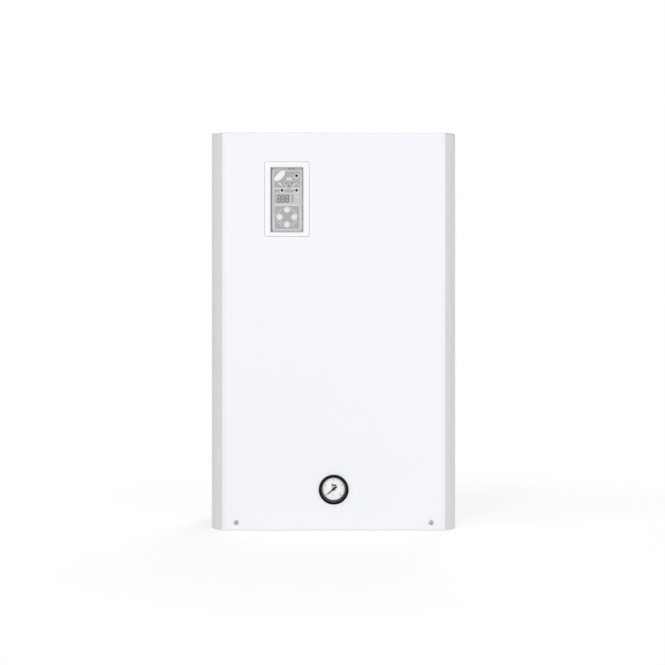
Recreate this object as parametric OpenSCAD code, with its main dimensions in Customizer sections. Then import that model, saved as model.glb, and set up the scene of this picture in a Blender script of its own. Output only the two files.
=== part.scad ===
// Wall-hung electric system boiler
// Millimetres, +Z up, front towards -Y. The wall face lies in Y = 0.
// The origin is on the wall face, midway between the two hanging keyholes.

/* [Casing] */
// Overall width across the side panels
body_w = 410; // [409:1:470]
// Overall height
body_h = 660; // [655:1:760]
// Depth from the wall to the flat of the front
body_d = 175; // [174:1:215]
// How far each side panel stands out past the edge of the front
side_bulge = 20; // [15:0.5:22]
// Turn of a side panel's surface where it meets the front, in degrees
side_turn = 35; // [20:1:48]
// Width of the shallow bevel down each edge of the front
bevel_w = 7; // [4:0.5:12]
// Depth of that bevel
bevel_drop = 2.5; // [1:0.25:4]
// Thickness of the front sheet
sheet_t = 1.2; // [0.8:0.1:1.6]
// Thickness of the side panels
side_t = 2; // [1.5:0.1:2.6]
// Outside radius of the front's bends
bend_r = 3; // [2:0.1:5]
// Depth of the legs where the front and the side panels are screwed together
leg_d = 22; // [16:1:30]
// Diameter of the heads of the two cover screws
screw_head_d = 8; // [6.5:0.5:9]
// Distance between the two cover screws
cover_screw_span = 323; // [280:1:340]
// Height of the cover screws above the bottom edge
cover_screw_h = 13.5; // [12:0.5:20]

/* [Chassis] */
// Thickness of the chassis sheet
chassis_t = 1.5; // [1:0.1:2]
// Depth of the back plate's side flanges
flange_d = 25; // [18:1:40]
// Drop from the top edge to the hanging line
hang_drop = 40; // [36:1:48]
// Distance between the two hanging keyholes
hang_span = 280; // [274:1:292]
// Width of a keyhole's slot
slot_w = 9; // [7:0.5:10]
// Diameter of a keyhole's lower opening, which passes the screw head
head_hole_d = 15; // [13:0.5:17]
// Distance between the two lower fixing holes
low_hole_span = 330; // [310:1:350]
// Height of the lower fixing holes above the bottom edge
low_hole_h = 45; // [38:1:60]
// Diameter of the lower fixing holes
low_hole_d = 9; // [6:0.5:11]
// Diameter of the two pegs that carry the top of the cover
peg_d = 6; // [4:0.5:8]
// Height of the bottom tray's floor above the bottom edge
tray_rise = 24; // [22:0.5:27]

/* [Control panel] */
// Sideways place of the panel's centre, measured from the middle
panel_x = -77.5; // [-88:0.5:-72]
// Drop from the top edge to the panel's centre
panel_drop = 110.5; // [109:0.5:125]
// Width of the grey fascia
fascia_w = 54; // [52:0.2:57]
// Height of the grey fascia
fascia_h = 107.8; // [104:0.2:112]
// Width of the white bezel on either side of the fascia
bezel_side = 10; // [8:0.5:12]
// Width of the bezel above and below the fascia
bezel_end = 8; // [6:0.5:10]
// How far the bezel stands proud of the front
bezel_proud = 1.5; // [0.5:0.1:3]
// Drop from the bezel's centre to the fascia's
fascia_drop = 1; // [0:0.5:1]
// Depth of the fascia below the bezel's rim
fascia_recess = 2.5; // [2:0.1:3.5]
// Diameter of a key
key_d = 10.6; // [8:0.2:11.4]
// Distance of each key from the middle of the keypad
key_spread = 12.2; // [11.8:0.1:13]
// Travel of a key
key_travel = 0.8; // [0.4:0.1:1]

/* [Pressure gauge] */
// Height of the gauge's centre above the bottom edge
gauge_h = 68; // [62:1:80]
// Outer diameter of the black bezel
gauge_d = 48.8; // [47:0.2:52]
// Visible diameter of the dial
dial_d = 38; // [34:0.2:38.4]
// Depth of the can behind the front
can_depth = 30; // [26:1:34]

/* [Heating vessel] */
// Outside diameter of the vessel
tank_d = 102; // [96:1:104]
// Length of the vessel's shell
tank_len = 365; // [330:1:375]
// Wall thickness of the vessel
tank_wall = 2; // [1.2:0.1:3]
// Diameter of the bolted flanges at the top
flange_dia = 119; // [118:0.5:120]
// Thickness of the heater flange
flange_t = 8; // [6:0.5:10]
// Diameter of the heating element's sheath
element_d = 8.5; // [6.5:0.5:10]
// Distance between the two legs of one hairpin element
hairpin_w = 22; // [18:1:26]

/* [Pump] */
// Length between the pump's port faces
pump_len = 130; // [124:1:134]
// Outside diameter of the volute
volute_d = 84; // [78:1:90]
// Diameter of the motor
motor_d = 88; // [80:1:92]
// Depth of the motor in front of the volute
motor_depth = 68; // [60:1:74]
// Diameter of the impeller
impeller_d = 64; // [54:1:66]
// Number of impeller vanes
vanes = 6; // [5:1:7]

/* [Pipework] */
// Outside diameter of the copper pipe
pipe_d = 22; // [20:0.5:24]
// Wall thickness of the copper pipe
pipe_wall = 1; // [0.8:0.1:1.5]
// Bore of the two water connections, inside the thread
port_bore = 24.12; // [20:0.02:26]
// Depth of the water connections' bore
port_depth = 16; // [12:0.5:17]
// Bore of the safety valve's discharge socket
drain_bore = 18.64; // [14:0.02:20]
// Bore of the mains cable gland
mains_bore = 17; // [12:0.5:18]
// Bore of the two small control cable glands
control_bore = 9; // [6:0.5:10]

/* [Expansion vessel] */
// Width over the crimped rim
vessel_w = 195; // [176:1:195]
// Height over the crimped rim
vessel_h = 370; // [330:1:374]
// Depth of the expansion vessel
vessel_d = 78; // [66:1:80]
// Radius of the expansion vessel's corners
vessel_corner = 40; // [34:1:55]

/* [Electrics] */
// Width of the control board
board_w = 165; // [140:1:172]
// Height of the control board
board_h = 150; // [130:1:152]
// Number of poles on the mains terminal block
poles = 5; // [4:1:5]
// Travel of the cut-out's reset button
reset_travel = 2; // [1:0.1:2.4]

/* [Hidden] */
$fn = 48;

// Colours
zinc = [0.72, 0.74, 0.76];
brass = [0.8, 0.68, 0.4];
steel = [0.7, 0.71, 0.73];
grey = [0.82, 0.83, 0.85];
copper = [0.8, 0.5, 0.35];

// Clearances
over = 1;            // extra length of every cutter
seam = 0.3;          // gap between fixed neighbours that don't press together
slip = 0.1;          // radial clearance of a moving fit or a loose bolt
window_gap = 0.35;   // gap round what shows through the front
wall_gap = 1;        // gap between the cover's back edges and the wall

// Casing
half_w = body_w / 2;
front_y = -body_d;
front_half = half_w - side_bulge;
bevel_angle = atan(bevel_drop / bevel_w);
bevel_y = front_y + bevel_drop;
leg_y = bevel_y + leg_d;
seam_x = front_half + slip;
seam_y = bevel_y + 1;
side_r = (side_bulge - slip) / (1 - sin(side_turn));
side_cx = half_w - side_r;
side_cy = seam_y + side_r * cos(side_turn);
hem_d = 12;
lip_h = 12;
side_screw_heights = [60, body_h / 2, body_h - 60];
side_screw_y = (seam_y + leg_y) / 2 + 3;
side_screw_d = 3;
cover_screw_d = 4;

// Chassis
chassis_half = half_w - side_t - 2;
plate_z = 4;
plate_top = body_h - sheet_t - 0.8;
lip_y = -chassis_t - 0.5;
peg_x = front_half - 20;
peg_z = body_h - sheet_t - 5.8;
tray_z = tray_rise;
tray_foot = 5;
tray_top = tray_z + chassis_t;
tray_half = front_half - sheet_t - 1.5;
tray_front_y = front_y + sheet_t + 1;
tray_lip_half = front_half - bevel_w - 1;
hang_h = body_h - hang_drop;

// Control panel
panel_z = body_h - panel_drop;
fascia_z = panel_z - fascia_drop;
bezel_w = fascia_w + 2 * bezel_side;
bezel_h = fascia_h + 2 * bezel_end;
bezel_d = 12;
bezel_y = front_y - bezel_proud;
fascia_y = bezel_y + fascia_recess;
fascia_t = 2;
housing_y = fascia_y + fascia_t;
housing_wall = 2;
housing_d = 22;
housing_w = fascia_w - 2 * housing_wall;
housing_h = fascia_h - 2 * housing_wall;
circuit_y = housing_y + 10;
circuit_t = 1.6;
switch_d = 3.5;
switch_y = circuit_y - switch_d;
keypad_z = panel_z - 29.8;
lens_w = 25;
lens_h = 14.8;
lens_x = panel_x - 8;
lens_z = panel_z + 1.3;
key_turns = [90, 0, 270, 180];
key_stem_d = 3.5;
key_flange_t = 1.4;
big_led_d = 4.4;
small_led_d = 2;
big_leds = [[15.9, 39.1], [-8.3, 14.6], [15.9, 14.6]];
small_leds = [[-1.7, 27.2], [8.5, 27.2], [3.3, 22], [8.9, 5.9], [8.9, 1.3], [8.9, -3.6]];
bracket_y = housing_y + housing_d;
ribbon_z = panel_z - housing_h / 2 + 9;

// Gauge
can_d = gauge_d - 4.8;
gauge_proud = 3;
dial_y = front_y + 7.5;
dial_t = 1;
gauge_lens_r = can_d / 2 - 1;
gauge_lens_t = 1.5;
gauge_lens_y = front_y - gauge_proud + 0.9;
gauge_boss_r = 6;
can_floor = 2;
tube_bend_r = 14;
tube_r = 2.8;
needle_zero = 220;
needle_shaft_r = 1;
movement_y = dial_y + 4;
capillary_r = 1.2;

// Hydraulics
tank_r = tank_d / 2;
tank_back_gap = 11;
line_y = -(tank_back_gap + tank_r);
tank_x = half_w - side_t - 93;
flange_r = flange_dia / 2;
gasket_t = 2;
neck_r = 13;
collar_r = 18.5;
waterway_r = 9;
connector_top = tray_top + 18.5;
pump_z = connector_top + gasket_t;
pump_mid = pump_z + pump_len / 2;
spigot_len = 22;
tank_z = pump_z + pump_len + gasket_t + spigot_len;
tank_top = tank_z + tank_len;
bolt_circle_r = flange_r - 3.7;
flange_top = tank_top + gasket_t + flange_t;
bolts = 8;
bolt_d = 4;
bolt_af = 7;
element_r = element_d / 2;
element_foot = tank_z + 32;
element_pitch_r = 25;
element_turns = [-90, 30, 150];
element_legs = [for (turn = element_turns, side = [-1, 1])
    (element_pitch_r + side * hairpin_w / 2) * [cos(turn), sin(turn)]];
terminal_h = 16;
clamp_h = 20;
clamp_heights = [tank_z + 115, tank_top - 75];
clamp_x = tank_r * 0.67;
clamp_y = line_y + sqrt(pow(tank_r + 0.5, 2) - pow(clamp_x, 2));
collar_h = 6;
union_af = 46;
port_lock_h = 7;
pipe_r = pipe_d / 2;
pipe_nut_af = pipe_d + 8;
pipe_nut_r = pipe_nut_af / 2 / cos(30);
pipe_nut_l = 13;
pipe_x = tank_x - 82;
sensor_len = 50;
sensor_z = connector_top + 56;
manifold_z = sensor_z + sensor_len;
manifold_h = 55;
manifold_top = manifold_z + manifold_h;
manifold_w = 34;
manifold_d = 32;
tee_z = tank_top - 35;
tee_half = 21;
tee_r = pipe_r + 4;
vent_z = tee_z + tee_half;
vent_h = 62;
vent_float_h = 30;
port_hex_af = 34;
port_spigot_r = 15;
port_face_z = 1;
valve_z = manifold_z + 32;
valve_y = line_y - manifold_d / 2;
drain_y = valve_y - 23;
drain_r = drain_bore / 2 + 2.7;
hose_port_z = manifold_z + 14;
capillary_port_z = manifold_z + 44;
seat_y = valve_y - 12;
bonnet_y = valve_y - 34;
bonnet_end = bonnet_y - 26;
spindle_r = 2.5;
lift = 1.5;
valve_knob_r = 16;
valve_knob_l = 17;
turbine_r = 11;
turbine_z = sensor_z + 26;
spider_gap = 11;
discharge_r = 9;
socket_d = 8;

// Pump
volute_front = line_y - 26;
volute_back = line_y + 24;
motor_front = volute_front - motor_depth;
shaft_r = 4;
rotor_r = 16;
chamber_back = volute_front + 16;
eye_r = 12;
terminal_box_x = tank_x + motor_d / 2 + 8;
pump_screw_turns = [45:90:315];
screw_seat_y = volute_front - 6.5;
knob_r = 10;
knob_y = motor_front + 4;

// Expansion vessel
rim = 4;
hook_w = 30;
vessel_x = -half_w + 15 + vessel_w / 2;
vessel_y = -chassis_t - seam - vessel_d / 2;
vessel_z = 215 + vessel_h / 2;
shell_t = 1.5;
shell_round = 26;
hose_r = 6;
hose_x = vessel_x + vessel_w / 2 - 37;
vessel_port_z = vessel_z - vessel_h / 2 - 10;

// Electrics
tray_left = -chassis_half + chassis_t;
tray_right = pipe_x - pipe_nut_r - 1.5;
board_tray_y = -96;
board_tray_z = 232;
board_tray_top = panel_z - 60;
standoff = 8;
board_x = tray_left + 14 + board_w / 2;
board_z = board_tray_z + 68 + board_h / 2;
tray_face = board_tray_y - chassis_t;
circuit_face = tray_face - standoff - circuit_t;
cutout_front = tray_face - 20;
button_r = 3;
button_end = cutout_front + 5;
block_x = tray_left + 60;
block_z = board_tray_z + 26;
pole_w = 18;
block_w = poles * pole_w;
cutout_x = tray_right - 36;
cutout_z = board_tray_z + 34;
cutout_d = 32;
saddle_z = tank_z + 48;
saddle_front = line_y - tank_r - 15;
lead_r = 2;
lead_y = tray_face - 12;
stud_r = 1.8;
nut_top = flange_top + 4 + 8.5;
stud_top = flange_top + 4 + terminal_h;
gland_wall = 4;
glands = [[-145, mains_bore], [-105, control_bore], [-75, control_bore]];
gland_y = line_y;

// The origin's place: every module below is drawn with its foot at the casing's bottom edge.
module in_frame() translate([0, 0, -hang_h]) children();

// Draws its children facing the front: local Z runs into the casing from the front's flat.
module from_front(x, z) translate([x, front_y, z]) rotate([-90, 0, 0]) children();

// Cylinder along Y between two depths.
module rod_y(x, z, y0, y1, r) translate([x, y0, z]) rotate([-90, 0, 0]) cylinder(r = r, h = y1 - y0);

// Cylinder along X between two places.
module rod_x(y, z, x0, x1, r) translate([x0, y, z]) rotate([0, 90, 0]) cylinder(r = r, h = x1 - x0);

// Box between two corners.
module box(low, high) translate(low) cube(high - low);

// Hexagonal bar along Z, by its width across the flats.
module hex(af, h) cylinder(r = af / 2 / cos(30), h = h, $fn = 6);

module rounded_rect(w, h, r) {
    square([w - 2 * r, h], center = true);
    square([w, h - 2 * r], center = true);
    for (x = [-1, 1], y = [-1, 1])
        translate([x * (w / 2 - r), y * (h / 2 - r)])
            circle(r);
}

// Rounded plate facing the front, between two depths measured as Y.
module plate_y(x, z, w, h, r, y0, y1)
    translate([x, y1, z])
        rotate([90, 0, 0])
            linear_extrude(y1 - y0)
                rounded_rect(w, h, r);

// Outline drawn in Y and Z, extruded along X from x0 to x1.
module along_x(x0, x1) translate([x0, 0, 0]) rotate([90, 0, 90]) linear_extrude(x1 - x0) children();

// Where a key's axis stands, as X and Z, by its turn about the middle of the keypad.
function key_place(turn) = [panel_x + key_spread * cos(turn), keypad_z + key_spread * sin(turn)];
// Sideways place of a pole of the mains terminal block.
function pole_x(i) = block_x + (i - (poles - 1) / 2) * pole_w;
function unit(v) = v / norm(v);
// Normal n carried on to the plane square to the direction t.
function carried(n, t) = unit(n - (n * t) * t);

// Places its children with their Z along the direction z and their X along x, at the point o.
module placed(o, x, z) {
    y = cross(z, x);
    multmatrix([
        [x[0], y[0], z[0], o[0]],
        [x[1], y[1], z[1], o[1]],
        [x[2], y[2], z[2], o[2]],
        [0, 0, 0, 1]])
        children();
}

module straight(a, b, r) {
    along = unit(b - a);
    across = carried(abs(along[0]) < 0.8 ? [1, 0, 0] : [0, 1, 0], along);
    placed(a, across, along)
        cylinder(r = r, h = norm(b - a));
}

// Bend at the corner p, from the direction d1 to d2.
module elbow(p, d1, d2, r, bend) {
    turn = acos(d1 * d2);
    inward = unit(d2 - cos(turn) * d1);
    centre = p - bend * tan(turn / 2) * d1 + bend * inward;
    placed(centre, -inward, cross(-inward, d1))
        rotate_extrude(angle = turn)
            translate([bend, 0])
                circle(r);
}

// Round rod through the points, with a bend of one radius at each corner.
module bent_rod(points, r, bend) {
    last = len(points) - 1;
    ways = [for (i = [0:last - 1]) unit(points[i + 1] - points[i])];
    cuts = [for (i = [0:last])
        i == 0 || i == last ? 0 : bend * tan(acos(ways[i - 1] * ways[i]) / 2)];
    for (i = [0:last - 1])
        straight(points[i] + cuts[i] * ways[i], points[i + 1] - cuts[i + 1] * ways[i], r);
    for (i = [1:last - 1])
        elbow(points[i], ways[i - 1], ways[i], r, bend);
}

// Ring about Z between two radii.
module ring(outer, inner, h) {
    difference() {
        cylinder(r = outer, h = h);
        translate([0, 0, -over]) cylinder(r = inner, h = h + 2 * over);
    }
}

// Pan head with a cross recess, its seat in Z = 0 and its shank along +Z.
module pan_screw(head, height, shank, length) {
    difference() {
        union() {
            translate([0, 0, -height]) cylinder(r1 = head * 0.3, r2 = head / 2, h = height * 0.5);
            translate([0, 0, -height / 2]) cylinder(r = head / 2, h = height / 2);
        }
        for (turn = [0, 90])
            rotate(turn)
                translate([-head * 0.26, -head * 0.05, -height - over])
                    cube([head * 0.52, head * 0.1, over + height * 0.6]);
    }
    cylinder(r = shank / 2, h = length);
}

// Plan of the front sheet's outside, moved in by t, reaching back to the depth back.
module front_plan(t, back) {
    leg = front_half - t;
    crease = front_half - bevel_w - t * tan(bevel_angle / 2);
    edge = bevel_y - t * tan(bevel_angle) + t / cos(bevel_angle);
    polygon([[-leg, back], [-leg, edge], [-crease, front_y + t], [crease, front_y + t], [leg, edge],
        [leg, back]]);
}

// Side view of the front sheet's outside, moved in by t: Y across, Z up.
module front_profile(t) {
    r = bend_r - t;
    translate([front_y + t + r, t]) square([body_d, body_h - 2 * t]);
    translate([front_y + t, t + r]) square([body_d, body_h - 2 * t - 2 * r]);
    for (z = [t + r, body_h - t - r])
        translate([front_y + t + r, z])
            circle(r);
}

module front_block(t, back)
    intersection() {
        linear_extrude(body_h) front_plan(t, back);
        along_x(-half_w, half_w) front_profile(t);
    }

// Plan of the space behind the right side panel's face, moved in by t.
module side_plan(t) {
    intersection() {
        translate([side_cx, side_cy]) circle(side_r - t);
        translate([seam_x + t, seam_y - over]) square([side_bulge, side_cy - seam_y + 2 * over]);
    }
    translate([seam_x + t, side_cy]) square([half_w - seam_x - 2 * t, -wall_gap - side_cy]);
}

module front_cover() color([0.95, 0.96, 0.97]) in_frame()
    difference() {
        union() {
            difference() {
                front_block(0, leg_y);
                front_block(sheet_t, leg_y + over);
                box([sheet_t - front_half, front_y + hem_d, -over],
                    [front_half - sheet_t, leg_y + over, sheet_t]);
            }
            translate([0, 0, body_h - sheet_t])
                linear_extrude(sheet_t) {
                    translate([-seam_x, seam_y]) square([2 * seam_x, -wall_gap - seam_y]);
                    for (side = [0, 1])
                        mirror([side, 0])
                            side_plan(0);
                }
            box([-peg_x - lip_h, lip_y - sheet_t, body_h - lip_h], [peg_x + lip_h, lip_y, body_h]);
        }
        plate_y(panel_x, panel_z, bezel_w + 2 * window_gap, bezel_h + 2 * window_gap, 3,
            front_y - over, front_y + sheet_t + over);
        rod_y(0, gauge_h, front_y - over, front_y + sheet_t + over, gauge_d / 2 + window_gap);
        for (side = [-1, 1]) {
            rod_y(side * cover_screw_span / 2, cover_screw_h, front_y - over,
                front_y + sheet_t + over, cover_screw_d / 2 + slip);
            rod_y(side * peg_x, peg_z, lip_y - sheet_t - over, lip_y + over, peg_d / 2 + 0.3);
            for (z = side_screw_heights)
                rod_x(side_screw_y, z, side * front_half - 2 * sheet_t, side * front_half + 2 * sheet_t,
                    side_screw_d / 2 + slip);
        }
    }

module side_panel()
    difference() {
        linear_extrude(body_h - sheet_t - seam)
            difference() {
                side_plan(0);
                side_plan(side_t);
                translate([seam_x - over, leg_y]) square([side_t + over, body_d]);
            }
        for (z = side_screw_heights)
            rod_x(side_screw_y, z, seam_x - over, seam_x + side_t + over, side_screw_d / 2);
    }

module side_panel_left() color(grey) in_frame() mirror([1, 0, 0]) side_panel();
module side_panel_right() color(grey) in_frame() side_panel();

module side_panel_screws() color(steel) in_frame()
    for (side = [0, 1], z = side_screw_heights)
        mirror([side, 0, 0])
            translate([front_half - sheet_t, side_screw_y, z])
                rotate([0, 90, 0])
                    pan_screw(6, 1.8, side_screw_d, sheet_t + seam + side_t + 1.5);

module cover_screws() color(steel) in_frame()
    for (side = [-1, 1])
        from_front(side * cover_screw_span / 2, cover_screw_h)
            pan_screw(screw_head_d, 2.6, cover_screw_d, 9);

module back_plate() color(zinc) in_frame() {
    difference() {
        union() {
            box([-chassis_half, -chassis_t, plate_z], [chassis_half, 0, plate_top]);
            for (side = [0, 1])
                mirror([side, 0, 0])
                    box([chassis_half - chassis_t, -flange_d, tray_top + 2],
                        [chassis_half, -chassis_t / 2, plate_top - 28]);
        }
        for (side = [-1, 1]) {
            rod_y(side * low_hole_span / 2, low_hole_h, -flange_d, over, low_hole_d / 2);
            translate([side * hang_span / 2, 0, hang_h]) {
                rod_y(0, 0, -chassis_t - over, over, slot_w / 2);
                rod_y(0, -14, -chassis_t - over, over, head_hole_d / 2);
                box([-slot_w / 2, -chassis_t - over, -14], [slot_w / 2, over, 0]);
            }
        }
    }
    // Hooks that hold the expansion vessel by its rim, above and below
    for (side = [0, 1])
        translate([vessel_x, 0, vessel_z])
            mirror([0, 0, side]) {
                hook_z = vessel_h / 2 + seam;
                box([-hook_w / 2, vessel_y - 2 - seam - chassis_t, hook_z], [hook_w / 2, -chassis_t / 2, hook_z + chassis_t]);
                box([-hook_w / 2, vessel_y - 2 - seam - chassis_t, vessel_h / 2 - rim + seam],
                    [hook_w / 2, vessel_y - 2 - seam, hook_z + chassis_t]);
            }
    for (side = [-1, 1]) {
        rod_y(side * peg_x, peg_z, lip_y - sheet_t - 4, -chassis_t / 2, peg_d / 2);
        translate([side * peg_x, lip_y - sheet_t - 4, peg_z])
            rotate([90, 0, 0])
                cylinder(r1 = peg_d / 2, r2 = peg_d / 2 - 1.5, h = 2.5);
    }
}

module bottom_tray() color(zinc) in_frame()
    difference() {
        union() {
            box([-tray_lip_half, tray_front_y, tray_z], [tray_lip_half, -chassis_t, tray_top]);
            box([-tray_half, bevel_y + sheet_t + 1, tray_z], [tray_half, -chassis_t, tray_top]);
            box([-chassis_half, side_cy, tray_z], [chassis_half, -chassis_t, tray_top]);
            box([-tray_lip_half, tray_front_y, tray_foot], [tray_lip_half, tray_front_y + chassis_t, tray_top]);
            box([-chassis_half + 4, -2 * chassis_t, tray_foot], [chassis_half - 4, -chassis_t, tray_top]);
            box([-gauge_d / 2 - 8, tray_front_y, tray_z],
                [gauge_d / 2 + 8, tray_front_y + chassis_t, gauge_h + gauge_d / 2 + 6]);
            for (side = [-1, 1])
                rod_y(side * cover_screw_span / 2, cover_screw_h, tray_front_y, tray_front_y + 9, 3.6);
        }
        rod_y(0, gauge_h, tray_front_y - over, tray_front_y + chassis_t + over, can_d / 2 + slip);
        for (side = [-1, 1])
            rod_y(side * cover_screw_span / 2, cover_screw_h, tray_front_y - over,
                tray_front_y + 9 + over, cover_screw_d / 2 + slip);
        translate([0, 0, tray_z - over]) {
            for (x = [tank_x, pipe_x])
                translate([x, line_y, 0]) cylinder(r = port_spigot_r + slip, h = chassis_t + 2 * over);
            translate([pipe_x, drain_y, 0]) cylinder(r = drain_r + slip, h = chassis_t + 2 * over);
            for (gland = glands)
                translate([gland[0], gland_y, 0])
                    cylinder(r = gland[1] / 2 + gland_wall + slip, h = chassis_t + 2 * over);
        }
    }

module bezel_plate(inset, y0, y1)
    plate_y(panel_x, panel_z, bezel_w - 2 * inset, bezel_h - 2 * inset, 3.5 - inset, y0, y1, $fn = 32);

module panel_bezel() color([0.95, 0.95, 0.96]) in_frame()
    difference() {
        union() {
            hull() {
                bezel_plate(0, bezel_y + 1.2, bezel_y + bezel_d);
                bezel_plate(0.35, bezel_y + 0.35, bezel_y + 1.2);
                bezel_plate(1.2, bezel_y, bezel_y + 1.2);
            }
            bezel_plate(-2.5, front_y + sheet_t + seam, front_y + sheet_t + seam + 1.5);
        }
        plate_y(panel_x, fascia_z, fascia_w + 2 * seam, fascia_h + 2 * seam, 1.2,
            bezel_y - over, bezel_y + bezel_d + over);
    }

module panel_fascia() color([0.72, 0.72, 0.73]) in_frame()
    difference() {
        plate_y(panel_x, fascia_z, fascia_w, fascia_h, 1, fascia_y, fascia_y + fascia_t);
        plate_y(lens_x, lens_z, lens_w, lens_h, 0.8, fascia_y - over, fascia_y + fascia_t + over);
        for (p = big_leds)
            rod_y(panel_x + p[0], panel_z + p[1], fascia_y - over, housing_y + over, big_led_d / 2 + slip);
        for (p = small_leds)
            rod_y(panel_x + p[0], panel_z + p[1], fascia_y - over, housing_y + over, small_led_d / 2 + slip);
        for (turn = key_turns)
            rod_y(key_place(turn)[0], key_place(turn)[1], fascia_y - over, housing_y + over,
                key_d / 2 + slip);
    }

module display_lens() color([0.62, 0.63, 0.64]) in_frame() {
    plate_y(lens_x, lens_z, lens_w - 2 * slip, lens_h - 2 * slip, 0.7, fascia_y + 0.2, housing_y);
    plate_y(lens_x, lens_z, lens_w + 3, lens_h + 3, 1.5, housing_y, housing_y + 1);
}

module indicator_lenses() color([0.16, 0.13, 0.13]) in_frame() {
    for (p = big_leds) {
        rod_y(panel_x + p[0], panel_z + p[1], fascia_y - 0.3, circuit_y - 3, big_led_d / 2);
        rod_y(panel_x + p[0], panel_z + p[1], circuit_y - 3, circuit_y, big_led_d / 2 + 0.5);
    }
    for (p = small_leds)
        rod_y(panel_x + p[0], panel_z + p[1], fascia_y - 0.1, circuit_y, small_led_d / 2);
}

// A key's cap stands in the fascia's hole, its rim bears on the fascia's back.
module key(turn) color([0.88, 0.89, 0.9]) in_frame()
    translate([key_place(turn)[0], 0, key_place(turn)[1]]) {
        rod_y(0, 0, fascia_y - 0.5, housing_y + slip, key_d / 2);
        translate([0, fascia_y - 0.5, 0])
            rotate([90, 0, 0])
                cylinder(r1 = key_d / 2, r2 = key_d / 2 - 0.7, h = 0.7);
        rod_y(0, 0, housing_y + slip, housing_y + slip + key_flange_t, key_d / 2 + 0.9);
        rod_y(0, 0, housing_y + slip + key_flange_t, switch_y - key_travel - slip, key_stem_d / 2);
    }

module key_up() key(key_turns[0]);
module key_right() key(key_turns[1]);
module key_down() key(key_turns[2]);
module key_left() key(key_turns[3]);

module display_board() color([0.1, 0.4, 0.25]) in_frame() {
    plate_y(panel_x, fascia_z, housing_w - 1, housing_h - 1, 1, circuit_y, circuit_y + circuit_t);
    plate_y(lens_x, lens_z, lens_w, lens_h, 0.5, housing_y + 1.5, circuit_y);
    for (turn = key_turns)
        translate([key_place(turn)[0], 0, key_place(turn)[1]]) {
            plate_y(0, 0, 6, 6, 0.5, switch_y + 0.8, circuit_y);
            rod_y(0, 0, switch_y, switch_y + 0.8, key_stem_d / 2);
        }
    box([panel_x - 10, circuit_y + circuit_t, ribbon_z - 3], [panel_x + 10, circuit_y + circuit_t + 5, ribbon_z + 3]);
}

module ribbon_way(y0, y1) box([panel_x - 12, y0, ribbon_z - 5], [panel_x + 12, y1, ribbon_z + 7]);

module panel_housing() color([0.9, 0.9, 0.9]) in_frame() {
    difference() {
        plate_y(panel_x, fascia_z, fascia_w, fascia_h, 1, housing_y, bracket_y);
        plate_y(panel_x, fascia_z, housing_w, housing_h, 1, housing_y - over, bracket_y - housing_wall);
        ribbon_way(bracket_y - housing_wall - over, bracket_y + over);
    }
    for (x = [-1, 1], z = [-1, 1])
        rod_y(panel_x + x * (housing_w / 2 - 6), fascia_z + z * (housing_h / 2 - 4), circuit_y + circuit_t,
            bracket_y - housing_wall / 2, 2.5);
}

module panel_bracket() color(zinc) in_frame() {
    left = panel_x - bezel_w / 2;
    right = panel_x + bezel_w / 2;
    top = panel_z + housing_h / 2 + 12;
    foot = board_tray_top - 16;
    difference() {
        box([left, bracket_y, foot], [right, bracket_y + chassis_t, top]);
        ribbon_way(bracket_y - over, bracket_y + chassis_t + over);
    }
    box([left, bracket_y, top - chassis_t], [right, -chassis_t, top]);
    box([left, -2 * chassis_t, top - chassis_t], [right, -chassis_t, top + 12]);
    difference() {
        box([left, bracket_y, foot], [right, board_tray_y - chassis_t, foot + chassis_t]);
        box([panel_x - 12, circuit_face - 14, foot - over], [panel_x + 12, circuit_face + 2, foot + chassis_t + over]);
    }
    box([left, board_tray_y - 2 * chassis_t, foot - 12], [right, board_tray_y - chassis_t, foot + chassis_t]);
}

module gauge_case() color([0.07, 0.07, 0.08]) in_frame() {
    difference() {
        union() {
            rod_y(0, gauge_h, front_y - gauge_proud + 1, tray_front_y, gauge_d / 2);
            translate([0, front_y - gauge_proud + 1, gauge_h])
                rotate([90, 0, 0])
                    cylinder(r1 = gauge_d / 2, r2 = gauge_d / 2 - 1, h = 1);
            rod_y(0, gauge_h, tray_front_y, front_y + can_depth, can_d / 2);
        }
        translate([0, gauge_lens_y, gauge_h])
            rotate([90, 0, 0])
                cylinder(r1 = gauge_lens_r + slip, r2 = gauge_lens_r + 1.1, h = 1);
        rod_y(0, gauge_h, gauge_lens_y, gauge_lens_y + gauge_lens_t, gauge_lens_r + slip);
        translate([0, dial_y, gauge_h])
            rotate([90, 0, 0])
                cylinder(r1 = dial_d / 2 + slip, r2 = gauge_lens_r - 0.6, h = dial_y - gauge_lens_y - 1);
        rod_y(0, gauge_h, dial_y - over, dial_y + dial_t, dial_d / 2 + slip);
        rod_y(0, gauge_h, dial_y, front_y + can_depth - can_floor, dial_d / 2 - 1.5);
        rod_y(0, gauge_h, front_y, front_y + can_depth + over, gauge_boss_r + slip);
    }
    for (turn = [0, 180])
        translate([0, 0, gauge_h])
            rotate([0, turn, 0])
                box([can_d / 2 - 1, tray_front_y + chassis_t + seam, -5],
                    [can_d / 2 + 2.5, tray_front_y + chassis_t + 4, 5]);
}

module gauge_lens() color([0.85, 0.9, 0.92, 0.4]) in_frame()
    rod_y(0, gauge_h, gauge_lens_y, gauge_lens_y + gauge_lens_t, gauge_lens_r);

module gauge_dial() color([0.96, 0.96, 0.95]) in_frame()
    difference() {
        rod_y(0, gauge_h, dial_y, dial_y + dial_t, dial_d / 2);
        rod_y(0, gauge_h, dial_y - over, dial_y + dial_t + over, needle_shaft_r + slip);
    }

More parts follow.
